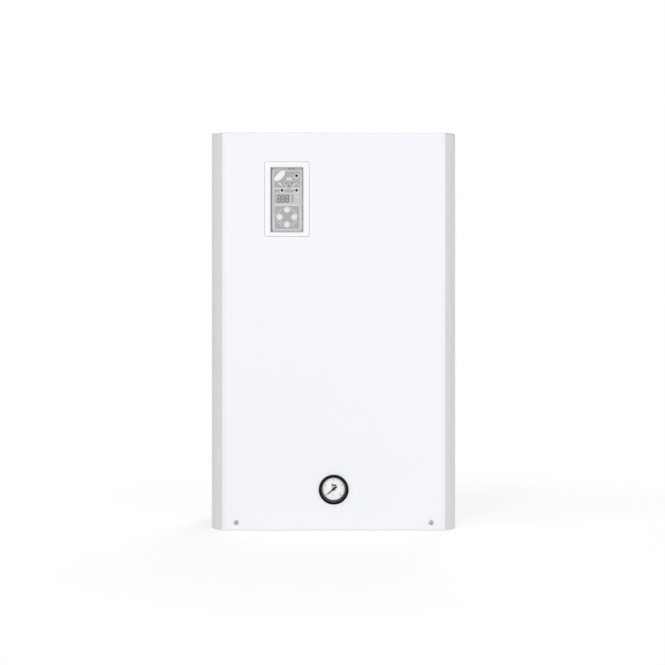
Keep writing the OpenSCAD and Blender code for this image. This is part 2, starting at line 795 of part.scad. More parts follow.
// At rest the pointer lies at the scale's zero, low on the left.
module gauge_needle() color([0.1, 0.1, 0.11]) in_frame() {
    rod_y(0, gauge_h, dial_y - 2.6, dial_y - 0.4, 2.7);
    rod_y(0, gauge_h, dial_y - 1, movement_y + 4, needle_shaft_r);
    translate([0, dial_y - 1.2, gauge_h])
        rotate([0, -needle_zero, 0])
            rotate([90, 0, 0])
                linear_extrude(0.8)
                    polygon([[-7, -1.6], [-7, 1.6], [0, 1.4], [dial_d / 2 - 5, 0.5],
                        [dial_d / 2 - 5, -0.5], [0, -1.4]]);
}

module gauge_movement() color([0.78, 0.65, 0.38]) in_frame() {
    gauge_capillary();
    can_end = front_y + can_depth;
    difference() {
        union() {
            rod_y(0, gauge_h, movement_y, movement_y + 3, 8);
            for (x = [-1, 1])
                rod_y(x * 6, gauge_h, movement_y, can_end - can_floor, 1.5);
            rod_y(0, gauge_h, can_end - 8, can_end + 8, gauge_boss_r);
            translate([0, can_end - 6, gauge_h])
                rotate([90, 0, 0]) {
                    rotate_extrude(angle = 250) translate([tube_bend_r, 0]) circle(tube_r);
                    translate([0, -3, -2]) cube([tube_bend_r, 6, 4]);
                }
        }
        rod_y(0, gauge_h, movement_y - over, movement_y + 5, needle_shaft_r + slip);
    }
}

module gauge_capillary() {
    turn_y = front_y + can_depth + 30;
    bent_rod([[0, front_y + can_depth + 4, gauge_h], [0, turn_y, gauge_h], [0, turn_y, capillary_port_z],
        [0, line_y, capillary_port_z], [pipe_x - manifold_w / 2 + 5, line_y, capillary_port_z]],
        capillary_r, 8);
    translate([pipe_x - manifold_w / 2 - 7, line_y, capillary_port_z])
        rotate([0, 90, 0])
            hex(10, 7);
}

// Round collar with a neck on it, the joint's face in Z = 0 and the neck along +Z.
module collared_neck(length) {
    cylinder(r = collar_r, h = collar_h);
    cylinder(r = neck_r, h = length);
}

// Places its children at each bolt of the heater flange.
module at_bolts(z)
    for (i = [0:bolts - 1])
        rotate(360 / bolts * (i + 0.5))
            translate([bolt_circle_r, 0, z])
                children();

module tank_profile(t) {
    r = 18;
    translate([0, r]) square([tank_r - t, tank_len - r + (t > 0 ? over : 0)]);
    translate([0, t]) square([tank_r - r, r]);
    intersection() {
        translate([tank_r - r, r]) circle(r - t);
        translate([0, 0]) square([tank_r, r]);
    }
}

module heating_tank() color([0.78, 0.79, 0.8]) in_frame()
    translate([tank_x, line_y, 0])
        difference() {
            union() {
                translate([0, 0, tank_z]) rotate_extrude() tank_profile(0);
                translate([0, 0, tank_top - 6]) cylinder(r = flange_r, h = 6);
                translate([0, 0, tank_z - spigot_len]) collared_neck(spigot_len + tank_wall / 2);
                translate([0, 0, tee_z])
                    rotate([0, -90, 0])
                        cylinder(r = pipe_r, h = tank_x - pipe_x - tee_half + socket_d);
            }
            translate([0, 0, tank_z]) rotate_extrude() tank_profile(tank_wall);
            translate([0, 0, tank_z - spigot_len - over]) cylinder(r = waterway_r, h = spigot_len + 10);
            translate([-tank_r / 2, 0, tee_z])
                rotate([0, -90, 0])
                    cylinder(r = pipe_r - pipe_wall, h = tank_x);
            at_bolts(tank_top - 6 - over) cylinder(r = bolt_d / 2 + slip, h = 6 + 2 * over);
        }

module heater_flange() color(brass) in_frame()
    translate([tank_x, line_y, tank_top + gasket_t])
        difference() {
            union() {
                cylinder(r = flange_r, h = flange_t);
                cylinder(r = tank_r - 10, h = flange_t + 3);
            }
            at_bolts(-over) cylinder(r = bolt_d / 2 + slip, h = flange_t + 2 * over);
            for (place = element_legs)
                translate([place[0], place[1], -over]) cylinder(r = element_r + 0.02, h = flange_t + 5);
        }

module gaskets() color([0.25, 0.25, 0.26]) in_frame() {
    translate([tank_x, line_y, 0]) {
        for (z = [connector_top, pump_z + pump_len])
            translate([0, 0, z]) ring(collar_r - 0.5, waterway_r, gasket_t);
        translate([0, 0, tank_top])
            difference() {
                ring(flange_r - 0.5, tank_r - tank_wall, gasket_t);
                at_bolts(-over) cylinder(r = bolt_d / 2 + slip, h = gasket_t + 2 * over);
            }
    }
}

module flange_bolts() color(steel) in_frame()
    translate([tank_x, line_y, 0]) {
        at_bolts(tank_top - 6 - 5) cylinder(r = bolt_d / 2, h = flange_top - tank_top + 11);
        at_bolts(tank_top - 6 - 3.2) hex(bolt_af, 3.2);
        at_bolts(flange_top) hex(bolt_af, 2.8);
    }

module pump_screws() color(steel) in_frame()
    for (turn = pump_screw_turns)
        translate([tank_x, 0, pump_mid])
            rotate([0, turn, 0]) {
                rod_y(0, motor_d / 2 - 5, screw_seat_y, volute_front + 6.5, 2.5);
                difference() {
                    rod_y(0, motor_d / 2 - 5, screw_seat_y - 5, screw_seat_y, 4.2);
                    translate([0, screw_seat_y - 2, motor_d / 2 - 5]) rotate([90, 0, 0]) hex(4, 5);
                }
            }

module heating_elements() color([0.6, 0.6, 0.58]) in_frame()
    translate([tank_x, line_y, 0]) {
        for (turn = element_turns)
            rotate(turn)
                translate([element_pitch_r, 0, element_foot]) {
                    rotate([-90, 0, 0])
                        rotate_extrude(angle = 180)
                            translate([hairpin_w / 2, 0])
                                circle(element_r);
                    for (side = [-1, 1])
                        translate([side * hairpin_w / 2, 0, 0]) {
                            rod = flange_top + 4 - element_foot;
                            cylinder(r = element_r, h = rod);
                            translate([0, 0, rod]) cylinder(r = element_r - 0.8, h = 5);
                            translate([0, 0, rod]) cylinder(r = stud_r, h = terminal_h);
                            translate([0, 0, rod + 6]) hex(6.5, 2.5);
                        }
                }
    }

module tank_clamps() color(zinc) in_frame()
    for (z = clamp_heights)
        translate([tank_x, 0, z]) {
            difference() {
                union() {
                    translate([0, line_y, 0]) ring(tank_r + 1.6, tank_r + slip, clamp_h);
                    box([tank_r + 1, line_y - 5, 0], [tank_r + 14, line_y + 5, clamp_h]);
                    for (side = [-1, 1]) {
                        box([side * clamp_x - 1, clamp_y, 0], [side * clamp_x + 1, -chassis_t, clamp_h]);
                        box([side * (clamp_x + 7) - 7, -chassis_t - 2, 0],
                            [side * (clamp_x + 7) + 7, -chassis_t, clamp_h]);
                    }
                }
                for (side = [-1, 1])
                    rod_y(side * (clamp_x + 8), clamp_h / 2, -chassis_t - 3, 0, 2.5);
                box([tank_r - 1, line_y - 2.5, -over], [tank_r + 15, line_y + 2.5, clamp_h + over]);
            }
            rod_y(tank_r + 9, clamp_h / 2, line_y - 11, line_y + 8, 2);
            translate([tank_r + 9, line_y - 5, clamp_h / 2]) rotate([90, 0, 0]) hex(7, 3);
            translate([tank_r + 9, line_y + 8, clamp_h / 2]) rotate([90, 0, 0]) hex(7, 3);
        }

module pump_housing() color([0.35, 0.36, 0.38]) in_frame()
    translate([tank_x, 0, 0])
        difference() {
            union() {
                rod_y(0, pump_mid, volute_front, volute_back, volute_d / 2);
                rod_y(0, pump_mid, volute_front, volute_front + 8, motor_d / 2);
                rod_y(0, pump_mid, volute_back, volute_back + 5, volute_d / 2 - 12);
                translate([0, line_y, pump_z]) collared_neck(pump_len / 2);
                translate([0, line_y, pump_z + pump_len]) mirror([0, 0, 1]) collared_neck(pump_len / 2);
            }
            rod_y(0, pump_mid, volute_front - over, chamber_back, impeller_d / 2 + 2);
            rod_y(0, pump_mid, chamber_back - over, line_y + waterway_r - 3, eye_r + 1);
            rod_y(0, pump_mid + impeller_d / 2 - 7, chamber_back - over, line_y + 2, waterway_r - 1);
            translate([0, line_y, pump_z - over]) cylinder(r = waterway_r, h = pump_len / 2);
            translate([0, line_y, pump_mid + impeller_d / 2 - 7]) cylinder(r = waterway_r, h = pump_len);
            for (turn = pump_screw_turns)
                translate([0, 0, pump_mid])
                    rotate([0, turn, 0])
                        rod_y(0, motor_d / 2 - 5, volute_front - over, volute_front + 7, 2.5);
        }

module pump_motor() color([0.3, 0.31, 0.33]) in_frame()
    translate([tank_x, 0, pump_mid])
        difference() {
            union() {
                rod_y(0, 0, motor_front + 4, volute_front - 6, motor_d / 2 - 3);
                rod_y(0, 0, volute_front - 6, volute_front, motor_d / 2);
                translate([0, motor_front + 4, 0])
                    rotate([90, 0, 0])
                        cylinder(r1 = motor_d / 2 - 3, r2 = motor_d / 2 - 9, h = 4);
                rod_y(0, 0, motor_front - 2, motor_front + over, 8);
                box([terminal_box_x - tank_x - 20, knob_y, -22], [terminal_box_x - tank_x + 16, volute_front - 12, 22]);
            }
            box([-5, motor_front - 2 - over, -0.6], [5, motor_front - 0.8, 0.6]);
            rod_y(0, 0, motor_front + 9, volute_front - 5, rotor_r + 0.6);
            rod_y(0, 0, motor_front + 5, volute_front + over, shaft_r + 0.04);
            rod_y(terminal_box_x - tank_x, 0, knob_y - over, knob_y + 8, 3 + slip);
            for (turn = pump_screw_turns)
                rotate([0, turn, 0]) {
                    rod_y(0, motor_d / 2 - 5, volute_front - 10, volute_front + over, 2.5 + slip);
                    rod_y(0, motor_d / 2 - 5, volute_front - 24, screw_seat_y, 4.8);
                }
        }

module vane()
    intersection() {
        translate([0, -21])
            difference() {
                circle(26.7);
                circle(25.3);
            }
        difference() {
            circle(impeller_d / 2 - 0.5);
            circle(eye_r + 0.5);
        }
        translate([0, -impeller_d]) square([impeller_d, 2 * impeller_d]);
    }

module pump_rotor() color([0.85, 0.8, 0.55]) in_frame()
    translate([tank_x, 0, pump_mid]) {
        rod_y(0, 0, motor_front + 6, chamber_back - 2, shaft_r);
        rod_y(0, 0, motor_front + 11, volute_front - 7, rotor_r);
        rod_y(0, 0, volute_front + 2, volute_front + 4, impeller_d / 2);
        difference() {
            rod_y(0, 0, chamber_back - 4, chamber_back - 2, impeller_d / 2);
            rod_y(0, 0, chamber_back - 5, chamber_back, eye_r);
        }
        rod_y(0, 0, volute_front + 3, chamber_back - 2, shaft_r + 3);
        translate([0, chamber_back - 3, 0])
            rotate([90, 0, 0])
                linear_extrude(chamber_back - volute_front - 6.5)
                    for (i = [0:vanes - 1])
                        rotate(360 / vanes * i)
                            vane();
    }

module pump_speed_knob() color([0.85, 0.2, 0.15]) in_frame()
    translate([terminal_box_x, 0, pump_mid]) {
        difference() {
            rod_y(0, 0, knob_y - 8, knob_y - seam, knob_r);
            for (side = [-1, 1])
                box([side * 5.5 - 3.5, knob_y - 9, -knob_r], [side * 5.5 + 3.5, knob_y - 3, knob_r]);
        }
        rod_y(0, 0, knob_y - over, knob_y + 7, 3);
    }

module union_nut(lip_at_top)
    mirror([0, 0, lip_at_top ? 1 : 0])
        difference() {
            translate([0, 0, -4]) hex(union_af, collar_h * 2 + gasket_t + 4);
            cylinder(r = collar_r + slip, h = 40);
            translate([0, 0, -5]) cylinder(r = neck_r + slip, h = 10);
        }

module pipe_nut()
    difference() {
        hex(pipe_nut_af, pipe_nut_l);
        translate([0, 0, -over]) cylinder(r = pipe_r + 0.05, h = pipe_nut_l + 2 * over);
    }

module pipe_nuts() color(brass) in_frame() {
    translate([tank_x, line_y, connector_top - collar_h]) union_nut(false);
    translate([tank_x, line_y, tank_z - spigot_len + collar_h]) union_nut(true);
    for (z = [connector_top, sensor_z - pipe_nut_l, manifold_top, tee_z - tee_half - pipe_nut_l])
        translate([pipe_x, line_y, z]) pipe_nut();
    for (x = [tank_x, pipe_x])
        translate([x, line_y, tray_z - port_lock_h])
            difference() {
                hex(port_hex_af + 2, port_lock_h);
                translate([0, 0, -over]) cylinder(r = port_spigot_r, h = port_lock_h + 2 * over);
            }
}

// Brass connection through the tray, from its open end up to its shoulder.
module port_body() {
    translate([0, 0, port_face_z]) cylinder(r = port_spigot_r, h = tray_top - port_face_z);
    translate([0, 0, tray_top]) hex(port_hex_af, 8);
}

module return_connector() color(brass) in_frame()
    translate([tank_x, line_y, 0])
        difference() {
            union() {
                port_body();
                translate([0, 0, connector_top]) mirror([0, 0, 1]) collared_neck(connector_top - tray_top);
            }
            translate([0, 0, port_face_z - over]) cylinder(r = port_bore / 2, h = port_depth + over);
            cylinder(r = waterway_r, h = connector_top + over);
        }

module flow_connector() color(brass) in_frame()
    translate([pipe_x, line_y, 0])
        difference() {
            union() {
                port_body();
                translate([0, 0, tray_top]) cylinder(r = pipe_r + 3.5, h = connector_top - tray_top);
            }
            translate([0, 0, port_face_z - over]) cylinder(r = port_bore / 2, h = port_depth + over);
            cylinder(r = waterway_r, h = connector_top + over);
            translate([0, 0, connector_top - socket_d]) cylinder(r = pipe_r + 0.05, h = socket_d + over);
        }

module flow_pipe() color(copper) in_frame()
    translate([pipe_x, line_y, 0]) {
        translate([0, 0, connector_top - socket_d])
            ring(pipe_r, pipe_r - pipe_wall, sensor_z - connector_top + 2 * socket_d);
        translate([0, 0, manifold_top - socket_d])
            ring(pipe_r, pipe_r - pipe_wall, tee_z - tee_half - manifold_top + 2 * socket_d);
    }

module vent_tee() color(brass) in_frame()
    translate([pipe_x, line_y, tee_z])
        difference() {
            union() {
                translate([0, 0, -tee_half]) cylinder(r = tee_r, h = 2 * tee_half);
                rotate([0, 90, 0]) cylinder(r = tee_r, h = tee_half);
            }
            translate([0, 0, -tee_half - over]) cylinder(r = pipe_r - pipe_wall, h = 2 * tee_half);
            rotate([0, 90, 0]) cylinder(r = pipe_r - pipe_wall, h = tee_half + over);
            translate([0, 0, -tee_half - over]) cylinder(r = pipe_r + 0.05, h = socket_d + over);
            translate([tee_half - socket_d, 0, 0]) rotate([0, 90, 0]) cylinder(r = pipe_r + 0.05, h = 20);
            translate([0, 0, tee_half - 9]) cylinder(r = 8, h = 20);
        }

module manifold() color(brass) in_frame()
    translate([pipe_x, line_y, 0])
        difference() {
            union() {
                box([-manifold_w / 2, -manifold_d / 2, manifold_z], [manifold_w / 2, manifold_d / 2, manifold_top]);
                box([-manifold_w / 2 + 4, manifold_d / 2, manifold_z + 12],
                    [manifold_w / 2 - 4, -line_y - chassis_t, manifold_top - 12]);
            }
            translate([0, 0, manifold_z - over]) cylinder(r = waterway_r, h = manifold_h + 2 * over);
            translate([0, 0, manifold_top - socket_d]) cylinder(r = pipe_r + 0.05, h = socket_d + over);
            rod_y(0, valve_z, -manifold_d / 2 - over, 0, 9);
            rod_x(0, hose_port_z, -manifold_w / 2 - over, 0, 6);
            rod_x(0, capillary_port_z, -manifold_w / 2 - over, -manifold_w / 2 + 5, capillary_r + 0.05);
            rod_x(0, capillary_port_z, -manifold_w / 2 + 4, 0, capillary_r / 2);
        }

module flow_sensor() color([0.16, 0.17, 0.19]) in_frame()
    translate([pipe_x, line_y, 0]) {
        difference() {
            union() {
                translate([0, 0, sensor_z]) cylinder(r = turbine_r + 5, h = sensor_len);
                translate([0, 0, sensor_z]) hex(pipe_nut_af + 4, 9);
                box([-9, -turbine_r - 13, sensor_z + 14], [9, -turbine_r, sensor_z + 38]);
            }
            translate([0, 0, sensor_z - over]) cylinder(r = pipe_r + 0.05, h = socket_d + over);
            translate([0, 0, sensor_z]) cylinder(r = waterway_r, h = sensor_len + over);
            translate([0, 0, sensor_z + socket_d + 4]) cylinder(r = turbine_r + 1, h = sensor_len);
        }
        for (z = [turbine_z - spider_gap - 3, turbine_z + spider_gap], turn = [0, 120, 240])
            difference() {
                translate([0, 0, z])
                    union() {
                        cylinder(r = 3.5, h = 3);
                        rotate(turn) translate([0, -1, 0]) cube([turbine_r + 1.5, 2, 3]);
                    }
                translate([0, 0, z - over]) cylinder(r = 1.05, h = 5);
            }
    }

module flow_turbine() color([0.95, 0.95, 0.93]) in_frame()
    translate([pipe_x, line_y, turbine_z]) {
        translate([0, 0, -spider_gap - 2.5]) cylinder(r = 1, h = 2 * spider_gap + 5);
        translate([0, 0, -spider_gap + 1]) cylinder(r = 3, h = 2 * spider_gap - 2);
        intersection() {
            translate([0, 0, -7]) cylinder(r = turbine_r, h = 14);
            for (turn = [0:60:300])
                rotate(turn)
                    rotate([32, 0, 0])
                        translate([2, -0.6, -9])
                            cube([turbine_r, 1.2, 18]);
        }
    }

module safety_valve() color(brass) in_frame()
    translate([pipe_x, 0, valve_z])
        difference() {
            union() {
                rod_y(0, 0, valve_y, valve_y + 10, 9);
                rod_y(0, 0, bonnet_y, valve_y, 15);
                rod_y(0, 0, bonnet_end, bonnet_y + over, 13);
                translate([0, bonnet_y + 3, 0]) rotate([90, 30, 0]) hex(32, 6);
                rod_y(0, 0, bonnet_end - 4, bonnet_end + over, 8);
                translate([0, drain_y, -22]) cylinder(r = drain_r, h = 22);
            }
            rod_y(0, 0, seat_y - over, valve_y + 10 + over, 6);
            rod_y(0, 0, bonnet_end + 3, seat_y, 11);
            rod_y(0, 0, bonnet_end - 5, bonnet_end + 4, spindle_r + slip);
            translate([0, drain_y, -22 - over]) cylinder(r = 7, h = 22);
            translate([0, drain_y, -22 - over]) cylinder(r = discharge_r + 0.05, h = 10 + over);
        }

module valve_disc() color([0.3, 0.3, 0.3]) in_frame()
    translate([pipe_x, 0, valve_z]) {
        rod_y(0, 0, seat_y - 4, seat_y - 0.02, 9);
        rod_y(0, 0, bonnet_end - 9, seat_y - 3, spindle_r);
    }

module valve_spring() color(steel) in_frame() {
    turns = 5;
    first = seat_y - 5;
    pitch = (first - bonnet_end - 4) / turns;
    helix([pipe_x, first, valve_z], 6.5, 0.8, pitch, turns);
}

// Closed-ended coil of round wire along -Y.
module helix(start, r, wire, pitch, turns) {
    steps = 14;
    points = [for (i = [0:turns * steps])
        start + [r * cos(360 * i / steps), -pitch * i / steps, r * sin(360 * i / steps)]];
    sweep(points, wire, 6);
}

module sweep(points, r, sides) {
    last = len(points) - 1;
    ahead = [for (i = [0:last]) unit(points[min(i + 1, last)] - points[max(i - 1, 0)])];
    across = [for (i = [0:last]) carried([0, 1, 0], ahead[i])];
    skin = [for (i = [0:last], j = [0:sides - 1])
        points[i] + r * (cos(360 * j / sides) * across[i] + sin(360 * j / sides) * cross(ahead[i], across[i]))];
    walls = [for (i = [0:last - 1], j = [0:sides - 1], half = [0, 1])
        let (a = i * sides + j, b = i * sides + (j + 1) % sides)
        half == 0 ? [a, a + sides, b + sides] : [a, b + sides, b]];
    ends = [[for (j = [0:sides - 1]) j], [for (j = [sides - 1:-1:0]) last * sides + j]];
    polyhedron(skin, concat(walls, ends));
}

module safety_valve_knob() color([0.75, 0.12, 0.1]) in_frame()
    translate([pipe_x, 0, valve_z])
        difference() {
            union() {
                rod_y(0, 0, bonnet_end - seam - valve_knob_l, bonnet_end - seam, valve_knob_r);
                for (turn = [0:45:315])
                    rotate([0, turn, 0])
                        rod_y(valve_knob_r, 0, bonnet_end - valve_knob_l, bonnet_end - 3, 1.6);
            }
            rod_y(0, 0, bonnet_end - 4.5, bonnet_end + over, 8 + slip);
            rod_y(0, 0, bonnet_end - 9 - 2 * lift, bonnet_end, spindle_r + 0.4);
        }

module discharge_pipe() color(copper) in_frame()
    translate([pipe_x, drain_y, 0]) {
        top = valve_z - 22 + 10;
        difference() {
            union() {
                translate([0, 0, port_face_z]) cylinder(r = drain_r, h = tray_top - port_face_z);
                translate([0, 0, tray_top]) hex(2 * drain_r + 3, 7);
                cylinder(r = discharge_r, h = top);
            }
            translate([0, 0, -over]) cylinder(r = discharge_r - pipe_wall, h = top + 2 * over);
            translate([0, 0, -over]) cylinder(r = drain_bore / 2, h = port_face_z + 11 + over);
        }
    }

module air_vent() color(brass) in_frame()
    translate([pipe_x, line_y, vent_z])
        difference() {
            union() {
                translate([0, 0, -8]) cylinder(r = 8, h = 10);
                hex(24, 5);
                translate([0, 0, 5]) cylinder(r = 15, h = vent_h - 17);
                translate([0, 0, vent_h - 12]) cylinder(r1 = 15, r2 = 8, h = 4);
                translate([0, 0, vent_h - 8]) cylinder(r = 6, h = 8);
                rod_x(0, vent_h - 4, 0, 11, 3);
            }
            translate([0, 0, -8 - over]) cylinder(r = 5, h = 20);
            translate([0, 0, 7]) cylinder(r = 12.5, h = vent_h - 21);
            translate([0, 0, vent_h - 16]) cylinder(r = 2, h = 12);
            rod_x(0, vent_h - 4, 3, 12, 1.2);
        }

module air_vent_float() color([0.9, 0.9, 0.85]) in_frame()
    translate([pipe_x, line_y, vent_z + 7 + 0.02]) {
        cylinder(r = 11.8, h = vent_float_h);
        translate([0, 0, vent_float_h]) cylinder(r1 = 11.8, r2 = 3, h = 3);
    }

// Plan of a quarter of a rounded edge: a strip w wide that ends in a round of radius r.
module round_edge(w, r, flat) {
    square([w, flat + r]);
    square([w + r, flat]);
    intersection() {
        translate([w, flat]) circle(r);
        square([w + r, flat + r]);
    }
}

// Rounded shell half on one side of the rim, moved in by t: side -1 is the front half.
module vessel_half(side, t) {
    r = shell_round - t;
    flat = vessel_d / 2 - shell_round;
    w = vessel_w / 2 - rim - t;
    h = vessel_h / 2 - rim - t;
    core = vessel_corner - rim - shell_round;
    translate([vessel_x, vessel_y, vessel_z])
        rotate([side * -90, 0, 0]) {
            linear_extrude(flat + r) square([2 * (w - r), 2 * (h - r - core)], center = true);
            linear_extrude(flat + r) square([2 * (w - r - core), 2 * (h - r)], center = true);
            for (x = [0, 1]) {
                mirror([x, 0, 0])
                    translate([w - r - core, h - r - core, 0])
                        rotate([90, 0, 0])
                            linear_extrude(2 * (h - r - core)) round_edge(core, r, flat);
                for (y = [0, 1])
                    mirror([x, 0, 0])
                        mirror([0, y, 0])
                            translate([w - r - core, h - r - core, 0])
                                rotate_extrude(angle = 90) round_edge(core, r, flat);
            }
            for (y = [0, 1])
                mirror([0, y, 0])
                    translate([r + core - w, h - r - core, 0])
                        rotate([90, 0, 90])
                            linear_extrude(2 * (w - r - core)) round_edge(core, r, flat);
        }
}

module expansion_vessel() color([0.75, 0.16, 0.13]) in_frame()
    difference() {
        union() {
            plate_y(vessel_x, vessel_z, vessel_w, vessel_h, vessel_corner, vessel_y - 2, vessel_y + 2);
            vessel_half(-1, 0);
            vessel_half(1, 0);
            translate([hose_x, line_y, vessel_port_z]) cylinder(r = 9, h = 30);
        }
        vessel_half(-1, shell_t);
        vessel_half(1, shell_t);
        translate([hose_x, line_y, vessel_port_z - over]) cylinder(r = 5, h = 32);
    }

module vessel_diaphragm() color([0.08, 0.08, 0.08]) in_frame()
    plate_y(vessel_x, vessel_z, vessel_w - 2 * (rim + shell_t + seam), vessel_h - 2 * (rim + shell_t + seam),
        vessel_corner - rim - shell_t, vessel_y - 1, vessel_y + 1);

module vessel_hose() color(steel) in_frame() {
    face = pipe_x - manifold_w / 2;
    bent_rod([[hose_x, line_y, vessel_port_z], [hose_x, line_y, hose_port_z], [face + 6, line_y, hose_port_z]],
        hose_r - 0.05, 16);
    translate([hose_x, line_y, vessel_port_z - 9])
        difference() {
            hex(24, 16);
            translate([0, 0, 9]) cylinder(r = 9.05, h = 16);
        }
    translate([hose_x, line_y, vessel_port_z - 19]) cylinder(r = hose_r + 1.2, h = 11);
    translate([face - 9, line_y, hose_port_z]) rotate([0, 90, 0]) hex(20, 9);
    rod_x(line_y, hose_port_z, face - 19, face - 8, hose_r + 1.2);
}

module electronics_tray() color(zinc) in_frame() {
    difference() {
        box([tray_left, tray_face, board_tray_z], [tray_right, board_tray_y, board_tray_top]);
        for (x = [tray_left + 30:16:tray_right - 30])
            plate_y(x, board_tray_top - 22, 6, 22, 2.9, tray_face - over, board_tray_y + over);
    }
    box([tray_left, tray_face, board_tray_z], [tray_left + chassis_t, -chassis_t, board_tray_top]);
    box([tray_right - chassis_t, tray_face, board_tray_z], [tray_right, -chassis_t, board_tray_top]);
    for (z = [board_tray_z + 20, board_tray_top - 60])
        difference() {
            box([tray_right - chassis_t, -2 * chassis_t, z], [tray_right + 14, -chassis_t, z + 40]);
            rod_y(tray_right + 7, z + 20, -3 * chassis_t, 0, 2.2);
        }
    for (x = [-1, 1], z = [-1, 1])
        rod_y(board_x + x * (board_w / 2 - 6), board_z + z * (board_h / 2 - 6), circuit_face + circuit_t,
            tray_face + 0.1, 3);
}

// Box standing on the control board's face, placed by its centre.
module part_on_board(x, z, w, h, high)
    box([board_x + x - w / 2, circuit_face - high, board_z + z - h / 2],
        [board_x + x + w / 2, circuit_face, board_z + z + h / 2]);

module main_board() color([0.1, 0.4, 0.25]) in_frame() {
    edge_x = board_w / 2;
    edge_z = board_h / 2;
    difference() {
        plate_y(board_x, board_z, board_w, board_h, 3, circuit_face, circuit_face + circuit_t);
        for (x = [-1, 1], z = [-1, 1])
            rod_y(board_x + x * (edge_x - 6), board_z + z * (edge_z - 6), circuit_face - over,
                circuit_face + circuit_t + over, 1.6);
    }
    part_on_board(20 - edge_x, 20, 34, 30, 24);
    for (i = [0:2])
        part_on_board(edge_x - 16, 30 - 30 * i, 16, 22, 16);
    for (i = [0:3])
        rod_y(board_x - edge_x + 14 + 15 * i, board_z - 14, circuit_face - 18, circuit_face, 5.5);
    part_on_board(10, 10, 14, 14, 1.6);
    part_on_board(2, 40, 28, 8, 9);
    part_on_board(24, edge_z - 5, 20, 6, 8);
    for (i = [0:poles - 1])
        part_on_board(pole_x(i) - board_x, 6 - edge_z, 15, 10, 11);
    rod_x(circuit_face - 5, board_z - 40, board_x + 14, board_x + 40, 3);
    part_on_board(18, -40, 6, 8, 9);
    part_on_board(36, -40, 6, 8, 9);
}

module terminal_block() color([0.86, 0.87, 0.85]) in_frame()
    difference() {
        union() {
            box([block_x - block_w / 2, tray_face - 8, block_z - 14], [block_x + block_w / 2, tray_face, block_z + 14]);
            for (i = [0:poles - 1])
                translate([pole_x(i), 0, block_z])
                    box([-pole_w / 2 + 1.2, tray_face - 22, -9], [pole_w / 2 - 1.2, tray_face - 7, 9]);
        }
        for (i = [0:poles - 1])
            translate([pole_x(i), 0, block_z]) {
                for (z = [-5, 5])
                    rod_y(0, z, tray_face - 23, lead_y - 6, 2.6);
                translate([0, lead_y, -10]) cylinder(r = 3.2, h = 13);
                translate([0, lead_y, 0]) cylinder(r = lead_r + slip, h = 10);
            }
    }

module thermal_cutout() color([0.14, 0.13, 0.12]) in_frame()
    translate([cutout_x, 0, cutout_z])
        difference() {
            union() {
                rod_y(0, 0, cutout_front, tray_face, cutout_d / 2);
                box([-cutout_d / 2 - 2, tray_face - 2, -6], [cutout_d / 2 + 2, tray_face, 6]);
                box([0, lead_y - 3, -11], [cutout_d / 2, lead_y + 3, 11]);
                rod_y(0, 0, cutout_front - 4, cutout_front + over, button_r + 2);
                for (x = [-8, 0, 8], z = [-1, 1])
                    box([x - 2.4, cutout_front + 4, z * 13 - 5], [x + 2.4, cutout_front + 5.2, z * 13 + 5]);
            }
            rod_y(0, 0, cutout_front - 4 - over, button_end + reset_travel + 1, button_r + slip);
        }

module cutout_button() color([0.8, 0.12, 0.1]) in_frame()
    translate([cutout_x, 0, cutout_z]) {
        rod_y(0, 0, cutout_front - 4 - reset_travel, button_end, button_r);
        translate([0, cutout_front - 4 - reset_travel, 0])
            rotate([90, 0, 0])
                cylinder(r1 = button_r, r2 = button_r - 0.8, h = 0.8);
    }

module triac_saddle() color([0.8, 0.81, 0.82]) in_frame() {
    difference() {
        box([tank_x - 27, saddle_front, saddle_z], [tank_x + 27, line_y - 30, saddle_z + 60]);
        translate([tank_x, line_y, saddle_z - over]) cylinder(r = tank_r + slip, h = 60 + 2 * over);
        for (x = [-1, 1], z = [10:10:50])
            box([tank_x + x * 27 - 5, saddle_front + 12, saddle_z + z - 2.5],
                [tank_x + x * 27 + 5, line_y, saddle_z + z + 2.5]);
    }
    for (i = [-1:1])
        difference() {
            box([tank_x + 17 * i - 7, saddle_front - 4.5, saddle_z + 18], [tank_x + 17 * i + 7, saddle_front, saddle_z + 42]);
            rod_y(tank_x + 17 * i, saddle_z + 36, saddle_front - 5, saddle_front - 1, 1.8);
        }
}

// Heater leads, the link that joins the elements' other ends, mains leads and the ribbon.
module wiring() color([0.15, 0.15, 0.16]) in_frame() {
    for (i = [0:2]) {
        foot = [for (v = [tank_x, line_y] + element_legs[2 * i + 1]) round(v * 10) / 10];
        x = round(tray_right) - 14 + 5 * i;
        z = stud_top + 14 - 5 * i;
        bent_rod([[cutout_x + cutout_d / 2, lead_y, cutout_z + 8 - 8 * i],
            [x, lead_y, cutout_z + 8 - 8 * i], [x, lead_y, z], [foot[0], lead_y, z],
            [foot[0], foot[1], z], [foot[0], foot[1], stud_top]],
            lead_r, 3);
    }
    translate([tank_x, line_y, nut_top])
        difference() {
            ring(element_pitch_r - hairpin_w / 2 + 4, element_pitch_r - hairpin_w / 2 - 4, 1);
            for (i = [0:2])
                translate([element_legs[2 * i][0], element_legs[2 * i][1], -over])
                    cylinder(r = stud_r + slip, h = 1 + 2 * over);
        }
    for (i = [0:poles - 1])
        translate([pole_x(i), lead_y, block_z + 4])
            cylinder(r = lead_r, h = board_z - board_h / 2 + 1 - block_z - 4);
    along_x(panel_x - 7, panel_x + 7) {
        translate([circuit_y + circuit_t + 5, ribbon_z - 1])
            square([circuit_face - 10 - circuit_y - circuit_t, 1]);
        translate([circuit_face - 6, board_z + board_h / 2 - 2])
            square([1, ribbon_z - board_z - board_h / 2 + 2]);
    }
}

